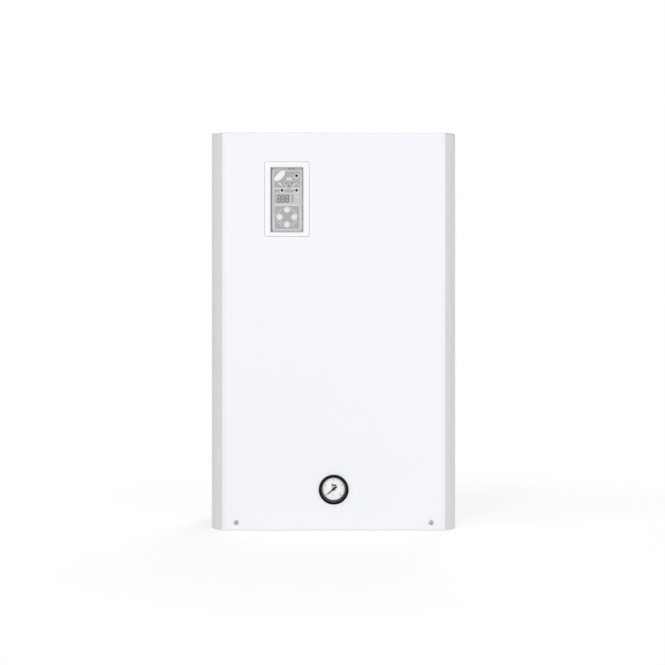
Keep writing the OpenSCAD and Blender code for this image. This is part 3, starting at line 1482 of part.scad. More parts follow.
module gland(bore) {
    r = bore / 2 + gland_wall;
    difference() {
        union() {
            translate([0, 0, tray_z - 9]) hex(2 * r + 4, 9);
            translate([0, 0, tray_z - 16]) cylinder(r = r + 1.4, h = 7.5);
            translate([0, 0, tray_z - 19]) cylinder(r1 = r - 1.5, r2 = r + 1.4, h = 3);
            translate([0, 0, tray_z - over]) cylinder(r = r, h = chassis_t + 11);
            translate([0, 0, tray_top]) hex(2 * r + 5, 5);
        }
        translate([0, 0, tray_z - 20]) cylinder(r = bore / 2, h = 60);
    }
}

module cable_glands() color([0.3, 0.31, 0.33]) in_frame()
    for (g = glands)
        translate([g[0], gland_y, 0])
            gland(g[1]);

back_plate();
bottom_tray();
front_cover();
side_panel_left();
side_panel_right();
side_panel_screws();
cover_screws();
panel_bezel();
panel_fascia();
display_lens();
indicator_lenses();
key_up();
key_right();
key_down();
key_left();
display_board();
panel_housing();
panel_bracket();
gauge_case();
gauge_dial();
gauge_needle();
gauge_lens();
gauge_movement();
heating_tank();
heater_flange();
gaskets();
flange_bolts();
pump_screws();
heating_elements();
tank_clamps();
pump_housing();
pump_motor();
pump_rotor();
pump_speed_knob();
pipe_nuts();
return_connector();
flow_connector();
flow_pipe();
vent_tee();
manifold();
flow_sensor();
flow_turbine();
safety_valve();
safety_valve_knob();
valve_disc();
valve_spring();
discharge_pipe();
air_vent();
air_vent_float();
expansion_vessel();
vessel_diaphragm();
vessel_hose();
electronics_tray();
main_board();
terminal_block();
thermal_cutout();
cutout_button();
triac_saddle();
wiring();
cable_glands();
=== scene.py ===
# Wall-hung electric boiler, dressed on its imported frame. Metres, front towards -Y.
import math

import bpy
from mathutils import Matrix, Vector


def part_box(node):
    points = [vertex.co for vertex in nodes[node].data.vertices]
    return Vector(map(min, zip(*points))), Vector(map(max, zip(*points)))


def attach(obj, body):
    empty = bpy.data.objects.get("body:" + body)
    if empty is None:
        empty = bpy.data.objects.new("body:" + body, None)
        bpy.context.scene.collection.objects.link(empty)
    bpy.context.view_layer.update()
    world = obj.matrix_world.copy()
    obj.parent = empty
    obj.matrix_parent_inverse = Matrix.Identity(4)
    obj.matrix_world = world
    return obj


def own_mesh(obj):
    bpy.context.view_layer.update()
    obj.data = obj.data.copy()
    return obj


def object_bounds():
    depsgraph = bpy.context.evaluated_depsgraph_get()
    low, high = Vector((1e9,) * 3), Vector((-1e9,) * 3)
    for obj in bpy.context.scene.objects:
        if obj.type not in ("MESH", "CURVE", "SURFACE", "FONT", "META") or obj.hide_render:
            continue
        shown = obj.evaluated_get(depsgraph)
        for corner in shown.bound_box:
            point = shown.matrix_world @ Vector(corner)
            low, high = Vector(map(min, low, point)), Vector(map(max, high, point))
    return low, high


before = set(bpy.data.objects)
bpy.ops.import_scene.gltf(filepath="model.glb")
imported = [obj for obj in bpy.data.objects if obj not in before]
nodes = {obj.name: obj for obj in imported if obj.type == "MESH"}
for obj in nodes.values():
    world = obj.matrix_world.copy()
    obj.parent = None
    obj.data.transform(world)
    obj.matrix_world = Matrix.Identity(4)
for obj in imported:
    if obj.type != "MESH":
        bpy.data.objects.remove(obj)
cadLow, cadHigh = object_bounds()
print("frame loaded:", len(nodes), "nodes")

floorZ = cadLow.z


# Heights here are counted from the casing's bottom edge, in millimetres, as on a drawing.
def fromEdge(x, y, z):
    return Vector((x / 1000, y / 1000, floorZ + z / 1000))


def deselectAll():
    for ob in list(bpy.context.selected_objects):
        ob.select_set(False)


# View and light
view = {
    "distance": 2.45,          # from the front of the casing
    "frameWidth": 1.1020,      # seen at the front
    "eye": (-25.0, 423.0),     # sideways and up, mm
    "aim": (-2.0, 328.4),      # what the picture's middle shows, mm
    "film": 36,                # width of the camera's film, mm
}
frontY = -0.175     # the plane of the casing's front

cameraData = bpy.data.cameras.new("photoCamera")
cameraData.sensor_width = view["film"]
cameraData.lens = view["film"] * view["distance"] / view["frameWidth"]
cameraData.shift_x = (view["aim"][0] - view["eye"][0]) / 1000 / view["frameWidth"]
cameraData.shift_y = (view["aim"][1] - view["eye"][1]) / 1000 / view["frameWidth"]
camera = bpy.data.objects.new("photoCamera", cameraData)
bpy.context.scene.collection.objects.link(camera)
camera.location = fromEdge(view["eye"][0], 0, view["eye"][1])
camera.location.y = frontY - view["distance"]
camera.rotation_euler = (math.radians(90), 0, 0)
bpy.context.scene.camera = camera
bpy.context.scene.view_settings.view_transform = "Standard"

lights = {
    "key": {"at": (-2.6, -6.0, 1.3), "size": 2.4, "watts": 80, "colour": (1.0, 0.997, 0.99)},
    "fill": {"at": (2.9, -4.9, -0.2), "size": 3.2, "watts": 106, "colour": (0.985, 0.992, 1.0)},
    "side": {"at": (-3.3, -1.9, 2.6), "size": 1.6, "watts": 20, "colour": (1.0, 1.0, 1.0)},
    "top": {"at": (-0.2, 0.2, 2.2), "size": 1.4, "watts": 2, "colour": (1.0, 1.0, 1.0)},
    "back": {"at": (0.7, 2.7, 1.4), "size": 1.8, "watts": 30, "colour": (1.0, 1.0, 1.0)},
}
lampAim = Vector((0, -0.1, -0.3))
for lightName, light in lights.items():
    lampData = bpy.data.lights.new(lightName + "Lamp", "AREA")
    lampData.shape = "DISK"
    lampData.size = light["size"]
    lampData.energy = light["watts"]
    lampData.color = light["colour"]
    lamp = bpy.data.objects.new(lightName + "Lamp", lampData)
    bpy.context.scene.collection.objects.link(lamp)
    lamp.location = light["at"]
    lamp.rotation_euler = (lampAim - lamp.location).to_track_quat("-Z", "Y").to_euler()

# The room's light differs ahead of the object and behind it. The floor has one paleness for the light and
# one for the eye, where its own glow and the part that takes the shadow add up. It fades into plain white.
studio = {
    "skyFront": 0.55, "skyBack": 0.39,
    "floor": 0.72, "floorGlow": 0.18,
    "shownGlow": 0.368, "shownShade": 0.83,
    "fadeAt": (0.15, 0.0), "fadeFrom": 0.36, "fadeTo": 0.9,
    "floorSize": 14, "floorY": 1.5, "below": 0.0004,
}

world = bpy.data.worlds.new("studio")
bpy.context.scene.world = world
world.use_nodes = True
tree = world.node_tree
tree.nodes.clear()
worldOut = tree.nodes.new("ShaderNodeOutputWorld")
worldMix = tree.nodes.new("ShaderNodeMixShader")
lightSky = tree.nodes.new("ShaderNodeBackground")
shownSky = tree.nodes.new("ShaderNodeBackground")
lightSky.inputs["Color"].default_value = (1, 1, 1, 1)
shownSky.inputs["Color"].default_value = (1, 1, 1, 1)
ray = tree.nodes.new("ShaderNodeTexCoord")
rayParts = tree.nodes.new("ShaderNodeSeparateXYZ")
skySpread = tree.nodes.new("ShaderNodeMapRange")
skySpread.inputs["From Min"].default_value = -1
skySpread.inputs["To Min"].default_value = studio["skyFront"]
skySpread.inputs["To Max"].default_value = studio["skyBack"]
tree.links.new(ray.outputs["Generated"], rayParts.inputs[0])
tree.links.new(rayParts.outputs["Y"], skySpread.inputs["Value"])
tree.links.new(skySpread.outputs[0], lightSky.inputs["Strength"])


# 1 for the rays that show the background: those of the camera, of gloss and through glass.
def shownRays(tree):
    path = tree.nodes.new("ShaderNodeLightPath")
    first = tree.nodes.new("ShaderNodeMath")
    second = tree.nodes.new("ShaderNodeMath")
    first.operation = second.operation = "MAXIMUM"
    tree.links.new(path.outputs["Is Camera Ray"], first.inputs[0])
    tree.links.new(path.outputs["Is Glossy Ray"], first.inputs[1])
    tree.links.new(first.outputs[0], second.inputs[0])
    tree.links.new(path.outputs["Is Transmission Ray"], second.inputs[1])
    return second.outputs[0]


tree.links.new(shownRays(tree), worldMix.inputs[0])
tree.links.new(lightSky.outputs[0], worldMix.inputs[1])
tree.links.new(shownSky.outputs[0], worldMix.inputs[2])
tree.links.new(worldMix.outputs[0], worldOut.inputs[0])

# The floor is white to the eye, keeps the shadow, and is open from below.
deselectAll()
floorAt = (0, studio["floorY"], floorZ - studio["below"])
bpy.ops.mesh.primitive_plane_add(size=studio["floorSize"], location=floorAt)
bpy.ops.object.transform_apply()
floor = bpy.context.object
floor.name = "studioFloor"
floorMat = bpy.data.materials.new("studioFloor")
floorMat.use_nodes = True
tree = floorMat.node_tree
tree.nodes.clear()
floorOut = tree.nodes.new("ShaderNodeOutputMaterial")
litFloor = tree.nodes.new("ShaderNodeBsdfDiffuse")
litFloor.inputs["Color"].default_value = (studio["floor"],) * 3 + (1,)
litGlow = tree.nodes.new("ShaderNodeEmission")
litGlow.inputs["Strength"].default_value = studio["floorGlow"]
lightFloor = tree.nodes.new("ShaderNodeAddShader")
tree.links.new(litFloor.outputs[0], lightFloor.inputs[0])
tree.links.new(litGlow.outputs[0], lightFloor.inputs[1])
shadeFloor = tree.nodes.new("ShaderNodeBsdfDiffuse")
shadeFloor.inputs["Color"].default_value = (studio["shownShade"],) * 3 + (1,)
glowFloor = tree.nodes.new("ShaderNodeEmission")
glowFloor.inputs["Strength"].default_value = studio["shownGlow"]
shownFloor = tree.nodes.new("ShaderNodeAddShader")
floorMix = tree.nodes.new("ShaderNodeMixShader")
openMix = tree.nodes.new("ShaderNodeMixShader")
openBelow = tree.nodes.new("ShaderNodeBsdfTransparent")
facing = tree.nodes.new("ShaderNodeNewGeometry")
plainWhite = tree.nodes.new("ShaderNodeEmission")
fadeMix = tree.nodes.new("ShaderNodeMixShader")
floorPlace = tree.nodes.new("ShaderNodeTexCoord")
away = tree.nodes.new("ShaderNodeVectorMath")
away.operation = "DISTANCE"
away.inputs[1].default_value = (*studio["fadeAt"], floorZ)
fade = tree.nodes.new("ShaderNodeMapRange")
fade.interpolation_type = "SMOOTHSTEP"
fade.inputs["From Min"].default_value = studio["fadeFrom"]
fade.inputs["From Max"].default_value = studio["fadeTo"]
tree.links.new(floorPlace.outputs["Object"], away.inputs[0])
tree.links.new(away.outputs["Value"], fade.inputs["Value"])
tree.links.new(shadeFloor.outputs[0], shownFloor.inputs[0])
tree.links.new(glowFloor.outputs[0], shownFloor.inputs[1])
tree.links.new(fade.outputs[0], fadeMix.inputs[0])
tree.links.new(shownFloor.outputs[0], fadeMix.inputs[1])
tree.links.new(plainWhite.outputs[0], fadeMix.inputs[2])
tree.links.new(shownRays(tree), floorMix.inputs[0])
tree.links.new(lightFloor.outputs[0], floorMix.inputs[1])
tree.links.new(fadeMix.outputs[0], floorMix.inputs[2])
tree.links.new(facing.outputs["Backfacing"], openMix.inputs[0])
tree.links.new(floorMix.outputs[0], openMix.inputs[1])
tree.links.new(openBelow.outputs[0], openMix.inputs[2])
tree.links.new(openMix.outputs[0], floorOut.inputs[0])
floor.data.materials.append(floorMat)
print("studio ready")


# Effects that several finishes share
def newGroup(name, takes, gives):
    group = bpy.data.node_groups.new(name, "ShaderNodeTree")
    for label, kind, value in takes:
        socket = group.interface.new_socket(name=label, in_out="INPUT", socket_type="NodeSocket" + kind)
        if value is not None:
            socket.default_value = value
    for label, kind in gives:
        group.interface.new_socket(name=label, in_out="OUTPUT", socket_type="NodeSocket" + kind)
    return group, group.nodes.new("NodeGroupInput"), group.nodes.new("NodeGroupOutput")


def addMath(tree, operation, a, b, clamp=False):
    node = tree.nodes.new("ShaderNodeMath")
    node.operation = operation
    node.use_clamp = clamp
    for socket, value in zip(node.inputs, (a, b)):
        if isinstance(value, (int, float)):
            socket.default_value = value
        else:
            tree.links.new(value, socket)
    return node.outputs[0]


# Turns a group's tone lighter and darker by how far a value lies from its middle.
def shiftTone(group, value, gi, go):
    shift = addMath(group, "MULTIPLY", addMath(group, "SUBTRACT", value, 0.5), gi.outputs["Spread"])
    tint = group.nodes.new("ShaderNodeHueSaturation")
    group.links.new(addMath(group, "ADD", shift, 1.0), tint.inputs["Value"])
    group.links.new(gi.outputs["Tone"], tint.inputs["Color"])
    group.links.new(tint.outputs[0], go.inputs["Colour"])


midGrey = (0.5, 0.5, 0.5, 1)
patternGives = [("Colour", "Color"), ("Mask", "Float"), ("Height", "Float")]

# Fine speckle with a slow drift of tone: powder coat, moulded plastic, castings.
grainSet = {"fineDetail": 3, "slowScale": 14, "slowDetail": 2}
takes = [("Vector", "Vector", None), ("Tone", "Color", midGrey), ("Size", "Float", 0.001),
         ("Spread", "Float", 0.05)]
grain, gi, go = newGroup("surfaceGrain", takes, patternGives)
fineScale = addMath(grain, "DIVIDE", 1.0, gi.outputs["Size"])
fine = grain.nodes.new("ShaderNodeTexNoise")
fine.inputs["Detail"].default_value = grainSet["fineDetail"]
slow = grain.nodes.new("ShaderNodeTexNoise")
slow.inputs["Scale"].default_value = grainSet["slowScale"]
slow.inputs["Detail"].default_value = grainSet["slowDetail"]
for noise in (fine, slow):
    grain.links.new(gi.outputs["Vector"], noise.inputs["Vector"])
grain.links.new(fineScale, fine.inputs["Scale"])
halfFine = addMath(grain, "MULTIPLY", fine.outputs["Fac"], 0.5)
halfSlow = addMath(grain, "MULTIPLY", slow.outputs["Fac"], 0.5)
both = addMath(grain, "ADD", halfFine, halfSlow)
shiftTone(grain, both, gi, go)
grain.links.new(both, go.inputs["Mask"])
grain.links.new(fine.outputs["Fac"], go.inputs["Height"])

# Lines drawn out along one direction: brushed, rolled and drawn metal.
lineDetail = 4
takes = [("Vector", "Vector", None), ("Stretch", "Vector", (1, 1, 1)), ("Tone", "Color", midGrey),
         ("Spread", "Float", 0.1)]
brushing, gi, go = newGroup("drawnLines", takes, patternGives)
pull = brushing.nodes.new("ShaderNodeVectorMath")
pull.operation = "MULTIPLY"
brushing.links.new(gi.outputs["Vector"], pull.inputs[0])
brushing.links.new(gi.outputs["Stretch"], pull.inputs[1])
lines = brushing.nodes.new("ShaderNodeTexNoise")
lines.inputs["Scale"].default_value = 1
lines.inputs["Detail"].default_value = lineDetail
brushing.links.new(pull.outputs[0], lines.inputs["Vector"])
shiftTone(brushing, lines.outputs["Fac"], gi, go)
brushing.links.new(lines.outputs["Fac"], go.inputs["Mask"])
brushing.links.new(lines.outputs["Fac"], go.inputs["Height"])

# Crystals of a zinc coat, each of its own tone.
crystals = {"warpScale": 160, "warpDetail": 2, "warpBy": 0.004}
takes = [("Vector", "Vector", None), ("Size", "Float", 0.01), ("Tone", "Color", midGrey),
         ("Spread", "Float", 0.1)]
spangle, gi, go = newGroup("zincCrystals", takes, patternGives)
warp = spangle.nodes.new("ShaderNodeTexNoise")
warp.inputs["Scale"].default_value = crystals["warpScale"]
warp.inputs["Detail"].default_value = crystals["warpDetail"]
spangle.links.new(gi.outputs["Vector"], warp.inputs["Vector"])
bend = spangle.nodes.new("ShaderNodeVectorMath")
bend.operation = "MULTIPLY_ADD"
spangle.links.new(warp.outputs["Color"], bend.inputs[0])
bend.inputs[1].default_value = (crystals["warpBy"],) * 3
spangle.links.new(gi.outputs["Vector"], bend.inputs[2])
cells = spangle.nodes.new("ShaderNodeTexVoronoi")
spangle.links.new(bend.outputs[0], cells.inputs["Vector"])
spangle.links.new(addMath(spangle, "DIVIDE", 1.0, gi.outputs["Size"]), cells.inputs["Scale"])
split = spangle.nodes.new("ShaderNodeSeparateColor")
spangle.links.new(cells.outputs["Color"], split.inputs[0])
shiftTone(spangle, split.outputs[0], gi, go)
spangle.links.new(split.outputs[1], go.inputs["Mask"])
spangle.links.new(warp.outputs["Fac"], go.inputs["Height"])

# A small round on sharp edges, and a mask of where they are.
edgeSet = {"samples": 4, "gain": 3.0}
edgeGives = [("Normal", "Vector"), ("Edge", "Float")]
softEdge, gi, go = newGroup("softEdges", [("Radius", "Float", 0.0004)], edgeGives)
rounding = softEdge.nodes.new("ShaderNodeBevel")
rounding.samples = edgeSet["samples"]
softEdge.links.new(gi.outputs["Radius"], rounding.inputs["Radius"])
straightOn = softEdge.nodes.new("ShaderNodeNewGeometry")
compare = softEdge.nodes.new("ShaderNodeVectorMath")
compare.operation = "DOT_PRODUCT"
softEdge.links.new(rounding.outputs[0], compare.inputs[0])
softEdge.links.new(straightOn.outputs["Normal"], compare.inputs[1])
softEdge.links.new(rounding.outputs[0], go.inputs["Normal"])
turned = addMath(softEdge, "SUBTRACT", 1.0, compare.outputs["Value"])
softEdge.links.new(addMath(softEdge, "MULTIPLY", turned, edgeSet["gain"], True), go.inputs["Edge"])
print("shared effects ready")


# Finishes. Tones are given as on a screen, 0 to 255, and become the renderer's own scale here.
def fromScreen(r, g, b):
    return tuple(((c / 255 + 0.055) / 1.055) ** 2.4 if c > 10 else c / 255 / 12.92 for c in (r, g, b)) + (1,)


every = {"coatRough": 0.08, "maskLow": 0.3, "maskHigh": 0.7}


# pattern: grain, drawn or zinc. rough: least and most. bump: strength and height in metres.
# worn: the tone of rubbed edges, and wear: how much of it shows.
def makeFinish(name, tone, pattern="grain", size=0.001, spread=0.04, rough=(0.35, 0.45), bump=(0.1, 0.00005),
               metallic=0.0, edge=0.0004, worn=None, wear=0.0, coat=0.0, gloss=0.5, paintedGlow=0.0,
               stretch=(1, 1, 1)):
    mat = bpy.data.materials.new(name)
    mat.use_nodes = True
    tree = mat.node_tree
    ownTone = fromScreen(*tone)
    shader = tree.nodes["Principled BSDF"]
    shader.inputs["Metallic"].default_value = metallic
    shader.inputs["Coat Weight"].default_value = coat
    shader.inputs["Specular IOR Level"].default_value = gloss
    shader.inputs["Emission Color"].default_value = ownTone
    # Emission here is painted light: a finish that shines of itself though it is no lamp.
    shader.inputs["Emission Strength"].default_value = paintedGlow
    shader.inputs["Coat Roughness"].default_value = every["coatRough"]
    place = tree.nodes.new("ShaderNodeTexCoord")
    look = tree.nodes.new("ShaderNodeGroup")
    look.node_tree = {"grain": grain, "drawn": brushing, "zinc": spangle}[pattern]
    tree.links.new(place.outputs["Object"], look.inputs["Vector"])
    look.inputs["Tone"].default_value = ownTone
    look.inputs["Spread"].default_value = spread
    if pattern == "drawn":
        look.inputs["Stretch"].default_value = stretch
    else:
        look.inputs["Size"].default_value = size
    edges = tree.nodes.new("ShaderNodeGroup")
    edges.node_tree = softEdge
    edges.inputs["Radius"].default_value = edge
    colour = look.outputs["Colour"]
    if worn:
        rub = tree.nodes.new("ShaderNodeMix")
        rub.data_type = "RGBA"
        tree.links.new(addMath(tree, "MULTIPLY", edges.outputs["Edge"], wear, True), rub.inputs["Factor"])
        tree.links.new(colour, rub.inputs["A"])
        rub.inputs["B"].default_value = fromScreen(*worn)
        colour = rub.outputs["Result"]
    tree.links.new(colour, shader.inputs["Base Color"])
    spreadOf = tree.nodes.new("ShaderNodeMapRange")
    spreadOf.inputs["From Min"].default_value = every["maskLow"]
    spreadOf.inputs["From Max"].default_value = every["maskHigh"]
    spreadOf.inputs["To Min"].default_value = rough[0]
    spreadOf.inputs["To Max"].default_value = rough[1]
    tree.links.new(look.outputs["Mask"], spreadOf.inputs["Value"])
    tree.links.new(spreadOf.outputs[0], shader.inputs["Roughness"])
    relief = tree.nodes.new("ShaderNodeBump")
    relief.inputs["Strength"].default_value = bump[0]
    relief.inputs["Distance"].default_value = bump[1]
    tree.links.new(look.outputs["Height"], relief.inputs["Height"])
    tree.links.new(edges.outputs["Normal"], relief.inputs["Normal"])
    tree.links.new(relief.outputs[0], shader.inputs["Normal"])
    return mat


# Lays a colour over a finish's own where the mask is 1: a tone, or the output of a node.
def overlay(mat, mask, colour):
    tree = mat.node_tree
    shader = tree.nodes["Principled BSDF"]
    before = shader.inputs["Base Color"].links[0].from_socket
    over = tree.nodes.new("ShaderNodeMix")
    over.data_type = "RGBA"
    tree.links.new(mask, over.inputs["Factor"])
    tree.links.new(before, over.inputs["A"])
    if isinstance(colour, tuple):
        over.inputs["B"].default_value = fromScreen(*colour)
    else:
        tree.links.new(colour, over.inputs["B"])
    tree.links.new(over.outputs["Result"], shader.inputs["Base Color"])


def coordinates(tree):
    place = tree.nodes.new("ShaderNodeTexCoord")
    apart = tree.nodes.new("ShaderNodeSeparateXYZ")
    tree.links.new(place.outputs["Object"], apart.inputs[0])
    return place.outputs["Object"], apart.outputs


# Bands of colour with hard ends: stops are (place from 0 to 1, tone).
def bands(tree, value, low, high, stops):
    spreadOf = tree.nodes.new("ShaderNodeMapRange")
    spreadOf.inputs["From Min"].default_value = low
    spreadOf.inputs["From Max"].default_value = high
    tree.links.new(value, spreadOf.inputs["Value"])
    ramp = tree.nodes.new("ShaderNodeValToRGB")
    ramp.color_ramp.interpolation = "CONSTANT"
    while len(ramp.color_ramp.elements) > 1:
        ramp.color_ramp.elements.remove(ramp.color_ramp.elements[-1])
    for i, (at, colour) in enumerate(stops):
        stop = ramp.color_ramp.elements[0] if i == 0 else ramp.color_ramp.elements.new(at)
        stop.position = at
        stop.color = fromScreen(*colour)
    tree.links.new(spreadOf.outputs[0], ramp.inputs[0])
    return ramp.outputs[0]


bareSteel = (205, 207, 210)
looks = {
    "whiteCoat": {"tone": (243, 245, 249), "size": 0.0016, "spread": 0.006, "rough": (0.34, 0.42),
                  "bump": (0.12, 0.00003), "edge": 0.0007},
    "greyCoat": {"tone": (226, 226, 227), "size": 0.0014, "spread": 0.012, "rough": (0.36, 0.46),
                 "bump": (0.14, 0.00003), "edge": 0.0007},
    "zincSheet": {"tone": (178, 183, 187), "pattern": "zinc", "size": 0.011, "spread": 0.16,
                  "rough": (0.32, 0.52), "bump": (0.05, 0.00005), "metallic": 0.85, "edge": 0.0003,
                  "worn": bareSteel, "wear": 0.5},
    "brightScrew": {"tone": (176, 178, 182), "size": 0.0008, "spread": 0.1, "rough": (0.24, 0.36),
                    "bump": (0.1, 0.00003), "metallic": 0.9, "edge": 0.0003, "worn": (225, 227, 230),
                    "wear": 0.6},
    "blackScrew": {"tone": (52, 52, 55), "size": 0.0008, "spread": 0.15, "rough": (0.35, 0.5),
                   "bump": (0.1, 0.00003), "metallic": 0.7, "edge": 0.0003, "worn": (120, 120, 122),
                   "wear": 0.5},
    "bezelPlastic": {"tone": (246, 247, 249), "size": 0.0007, "spread": 0.006, "rough": (0.4, 0.5),
                     "bump": (0.12, 0.00002), "edge": 0.0005},
    "fasciaFilm": {"tone": (197, 197, 198), "size": 0.0005, "spread": 0.03, "rough": (0.42, 0.52),
                   "bump": (0.12, 0.00001), "edge": 0.0002},
    "displayWindow": {"tone": (186, 186, 187), "size": 0.004, "spread": 0.02, "rough": (0.16, 0.22),
                      "bump": (0.02, 0.00001), "edge": 0.0003, "coat": 0.4},
    "darkLamp": {"tone": (30, 22, 24), "size": 0.001, "spread": 0.2, "rough": (0.12, 0.2),
                 "bump": (0.02, 0.00001), "edge": 0.0004, "coat": 0.5},
    "keyPlastic": {"tone": (226, 226, 227), "size": 0.0006, "spread": 0.02, "rough": (0.42, 0.52),
                   "bump": (0.1, 0.00001), "edge": 0.0005},
    "paleHousing": {"tone": (226, 226, 224), "size": 0.0008, "spread": 0.03, "rough": (0.42, 0.55),
                    "bump": (0.12, 0.00003), "edge": 0.0004},
    "boardGreen": {"tone": (28, 104, 62), "size": 0.0015, "spread": 0.16, "rough": (0.3, 0.42),
                   "bump": (0.08, 0.00003), "edge": 0.0002, "coat": 0.3},
    "gaugeBlack": {"tone": (9, 7, 8), "size": 0.0007, "spread": 0.15, "rough": (0.34, 0.46),
                   "bump": (0.08, 0.00002), "edge": 0.0005, "gloss": 0.1},
    # The dial glows a little of itself: painted light, standing in for the lamp light its window keeps from
    # it.
    "dialWhite": {"tone": (254, 254, 254), "size": 0.0008, "spread": 0.01, "rough": (0.5, 0.6),
                  "bump": (0.04, 0.00001), "edge": 0.0002, "paintedGlow": 0.12},
    "needleBlack": {"tone": (16, 12, 13), "size": 0.0006, "spread": 0.15, "rough": (0.4, 0.5),
                    "bump": (0.05, 0.00001), "edge": 0.0002, "gloss": 0.2},
    "brassBody": {"tone": (206, 170, 104), "size": 0.0012, "spread": 0.12, "rough": (0.22, 0.4),
                  "bump": (0.14, 0.00005), "metallic": 0.95, "edge": 0.0005, "worn": (232, 204, 142),
                  "wear": 0.6},
    "nickelNut": {"tone": (196, 176, 128), "pattern": "drawn", "stretch": (60, 60, 1400), "spread": 0.1,
                  "rough": (0.2, 0.36), "bump": (0.08, 0.00003), "metallic": 0.95, "edge": 0.0006,
                  "worn": (232, 206, 150), "wear": 0.6},
    "stainless": {"tone": (190, 190, 189), "pattern": "drawn", "stretch": (22, 22, 900), "spread": 0.1,
                  "rough": (0.24, 0.4), "bump": (0.1, 0.00003), "metallic": 0.95, "edge": 0.0006},
    "rubber": {"tone": (34, 34, 36), "size": 0.0009, "spread": 0.2, "rough": (0.65, 0.8),
               "bump": (0.2, 0.00005), "edge": 0.0004},
    "sheathSteel": {"tone": (150, 146, 138), "size": 0.0015, "spread": 0.2, "rough": (0.35, 0.55),
                    "bump": (0.12, 0.00004), "metallic": 0.85, "edge": 0.0003},
    "castBlack": {"tone": (50, 52, 56), "size": 0.0014, "spread": 0.3, "rough": (0.48, 0.66),
                  "bump": (0.55, 0.00022), "metallic": 0.25, "edge": 0.0012, "worn": (92, 94, 98),
                  "wear": 0.5},
    "motorPaint": {"tone": (58, 61, 66), "size": 0.0009, "spread": 0.12, "rough": (0.4, 0.52),
                   "bump": (0.2, 0.00005), "metallic": 0.1, "edge": 0.0009, "worn": (110, 112, 116),
                   "wear": 0.4},
    "rotorSteel": {"tone": (178, 176, 168), "pattern": "drawn", "stretch": (40, 1300, 40), "spread": 0.12,
                   "rough": (0.2, 0.34), "bump": (0.06, 0.00002), "metallic": 0.95, "edge": 0.0003},
    "redPlastic": {"tone": (196, 44, 32), "size": 0.0008, "spread": 0.06, "rough": (0.34, 0.44),
                   "bump": (0.1, 0.00003), "edge": 0.0008},
    "copperPipe": {"tone": (204, 126, 88), "pattern": "drawn", "stretch": (300, 300, 24), "spread": 0.18,
                   "rough": (0.2, 0.38), "bump": (0.06, 0.00002), "metallic": 0.97, "edge": 0.0003},
    "blackNylon": {"tone": (38, 39, 42), "size": 0.0006, "spread": 0.15, "rough": (0.42, 0.56),
                   "bump": (0.2, 0.00004), "edge": 0.0006},
    "naturalPlastic": {"tone": (232, 230, 220), "size": 0.001, "spread": 0.03, "rough": (0.35, 0.45),
                       "bump": (0.06, 0.00002), "edge": 0.0004},
    "springWire": {"tone": (170, 172, 176), "size": 0.0006, "spread": 0.1, "rough": (0.25, 0.38),
                   "bump": (0.06, 0.00001), "metallic": 0.95, "edge": 0.0001},
    "redEnamel": {"tone": (176, 34, 28), "size": 0.003, "spread": 0.05, "rough": (0.24, 0.34),
                  "bump": (0.16, 0.00008), "edge": 0.0012, "coat": 0.5, "worn": (206, 70, 58),
                  "wear": 0.3},
    "braidedSteel": {"tone": (178, 180, 184), "size": 0.0006, "spread": 0.3, "rough": (0.26, 0.5),
                     "bump": (0.3, 0.0001), "metallic": 0.9, "edge": 0.0004},
    "palePlastic": {"tone": (222, 224, 218), "size": 0.0008, "spread": 0.03, "rough": (0.4, 0.52),
                    "bump": (0.1, 0.00003), "edge": 0.0004},
    "cutoutPlastic": {"tone": (42, 36, 33), "size": 0.0016, "spread": 0.25, "rough": (0.28, 0.42),
                      "bump": (0.1, 0.00004), "edge": 0.0005},
    "finnedAlloy": {"tone": (196, 198, 202), "pattern": "drawn", "stretch": (24, 500, 900), "spread": 0.1,
                    "rough": (0.26, 0.42), "bump": (0.08, 0.00003), "metallic": 0.95, "edge": 0.0005,
                    "worn": (228, 230, 233), "wear": 0.5},
    "cableSleeve": {"tone": (36, 36, 38), "size": 0.0008, "spread": 0.1, "rough": (0.42, 0.55),
                    "bump": (0.1, 0.00002), "edge": 0.0002},
}
finishes = {lookName: makeFinish(lookName, **look) for lookName, look in looks.items()}

# The boards: tracks on the green, and components in their own colours ahead of its face.
boards = {"main_board": {"face": -0.1072, "cell": 46.0}, "display_board": {"face": -0.1622, "cell": 120.0}}
tracksSet = {"scale": 190, "random": 0.55, "width": 0.05, "cover": 0.45, "tone": (96, 158, 92)}
partsSet = {"random": 0.8, "above": 0.0006,
            "kinds": [(0.0, (30, 30, 33)), (0.4, (38, 70, 140)), (0.62, (70, 72, 76)),
                      (0.82, (206, 202, 190))]}
for boardName, board in boards.items():
    mat = finishes["boardGreen"].copy()
    mat.name = boardName.replace("_board", "") + "Board"
    tree = mat.node_tree
    where, axes = coordinates(tree)
    tracks = tree.nodes.new("ShaderNodeTexVoronoi")
    tracks.feature = "DISTANCE_TO_EDGE"
    tracks.inputs["Scale"].default_value = tracksSet["scale"]
    tracks.inputs["Randomness"].default_value = tracksSet["random"]
    tree.links.new(where, tracks.inputs["Vector"])
    onTrack = addMath(tree, "LESS_THAN", tracks.outputs["Distance"], tracksSet["width"])
    overlay(mat, addMath(tree, "MULTIPLY", onTrack, tracksSet["cover"]), tracksSet["tone"])
    parts = tree.nodes.new("ShaderNodeTexVoronoi")
    parts.inputs["Scale"].default_value = board["cell"]
    parts.inputs["Randomness"].default_value = partsSet["random"]
    flat = tree.nodes.new("ShaderNodeVectorMath")
    flat.operation = "MULTIPLY"
    flat.inputs[1].default_value = (1, 0, 1)
    tree.links.new(where, flat.inputs[0])
    tree.links.new(flat.outputs[0], parts.inputs["Vector"])
    cell = tree.nodes.new("ShaderNodeSeparateColor")
    tree.links.new(parts.outputs["Color"], cell.inputs[0])
    kinds = bands(tree, cell.outputs[0], 0, 1, partsSet["kinds"])
    overlay(mat, addMath(tree, "LESS_THAN", axes[1], board["face"] - partsSet["above"]), kinds)
    finishes[boardName] = mat

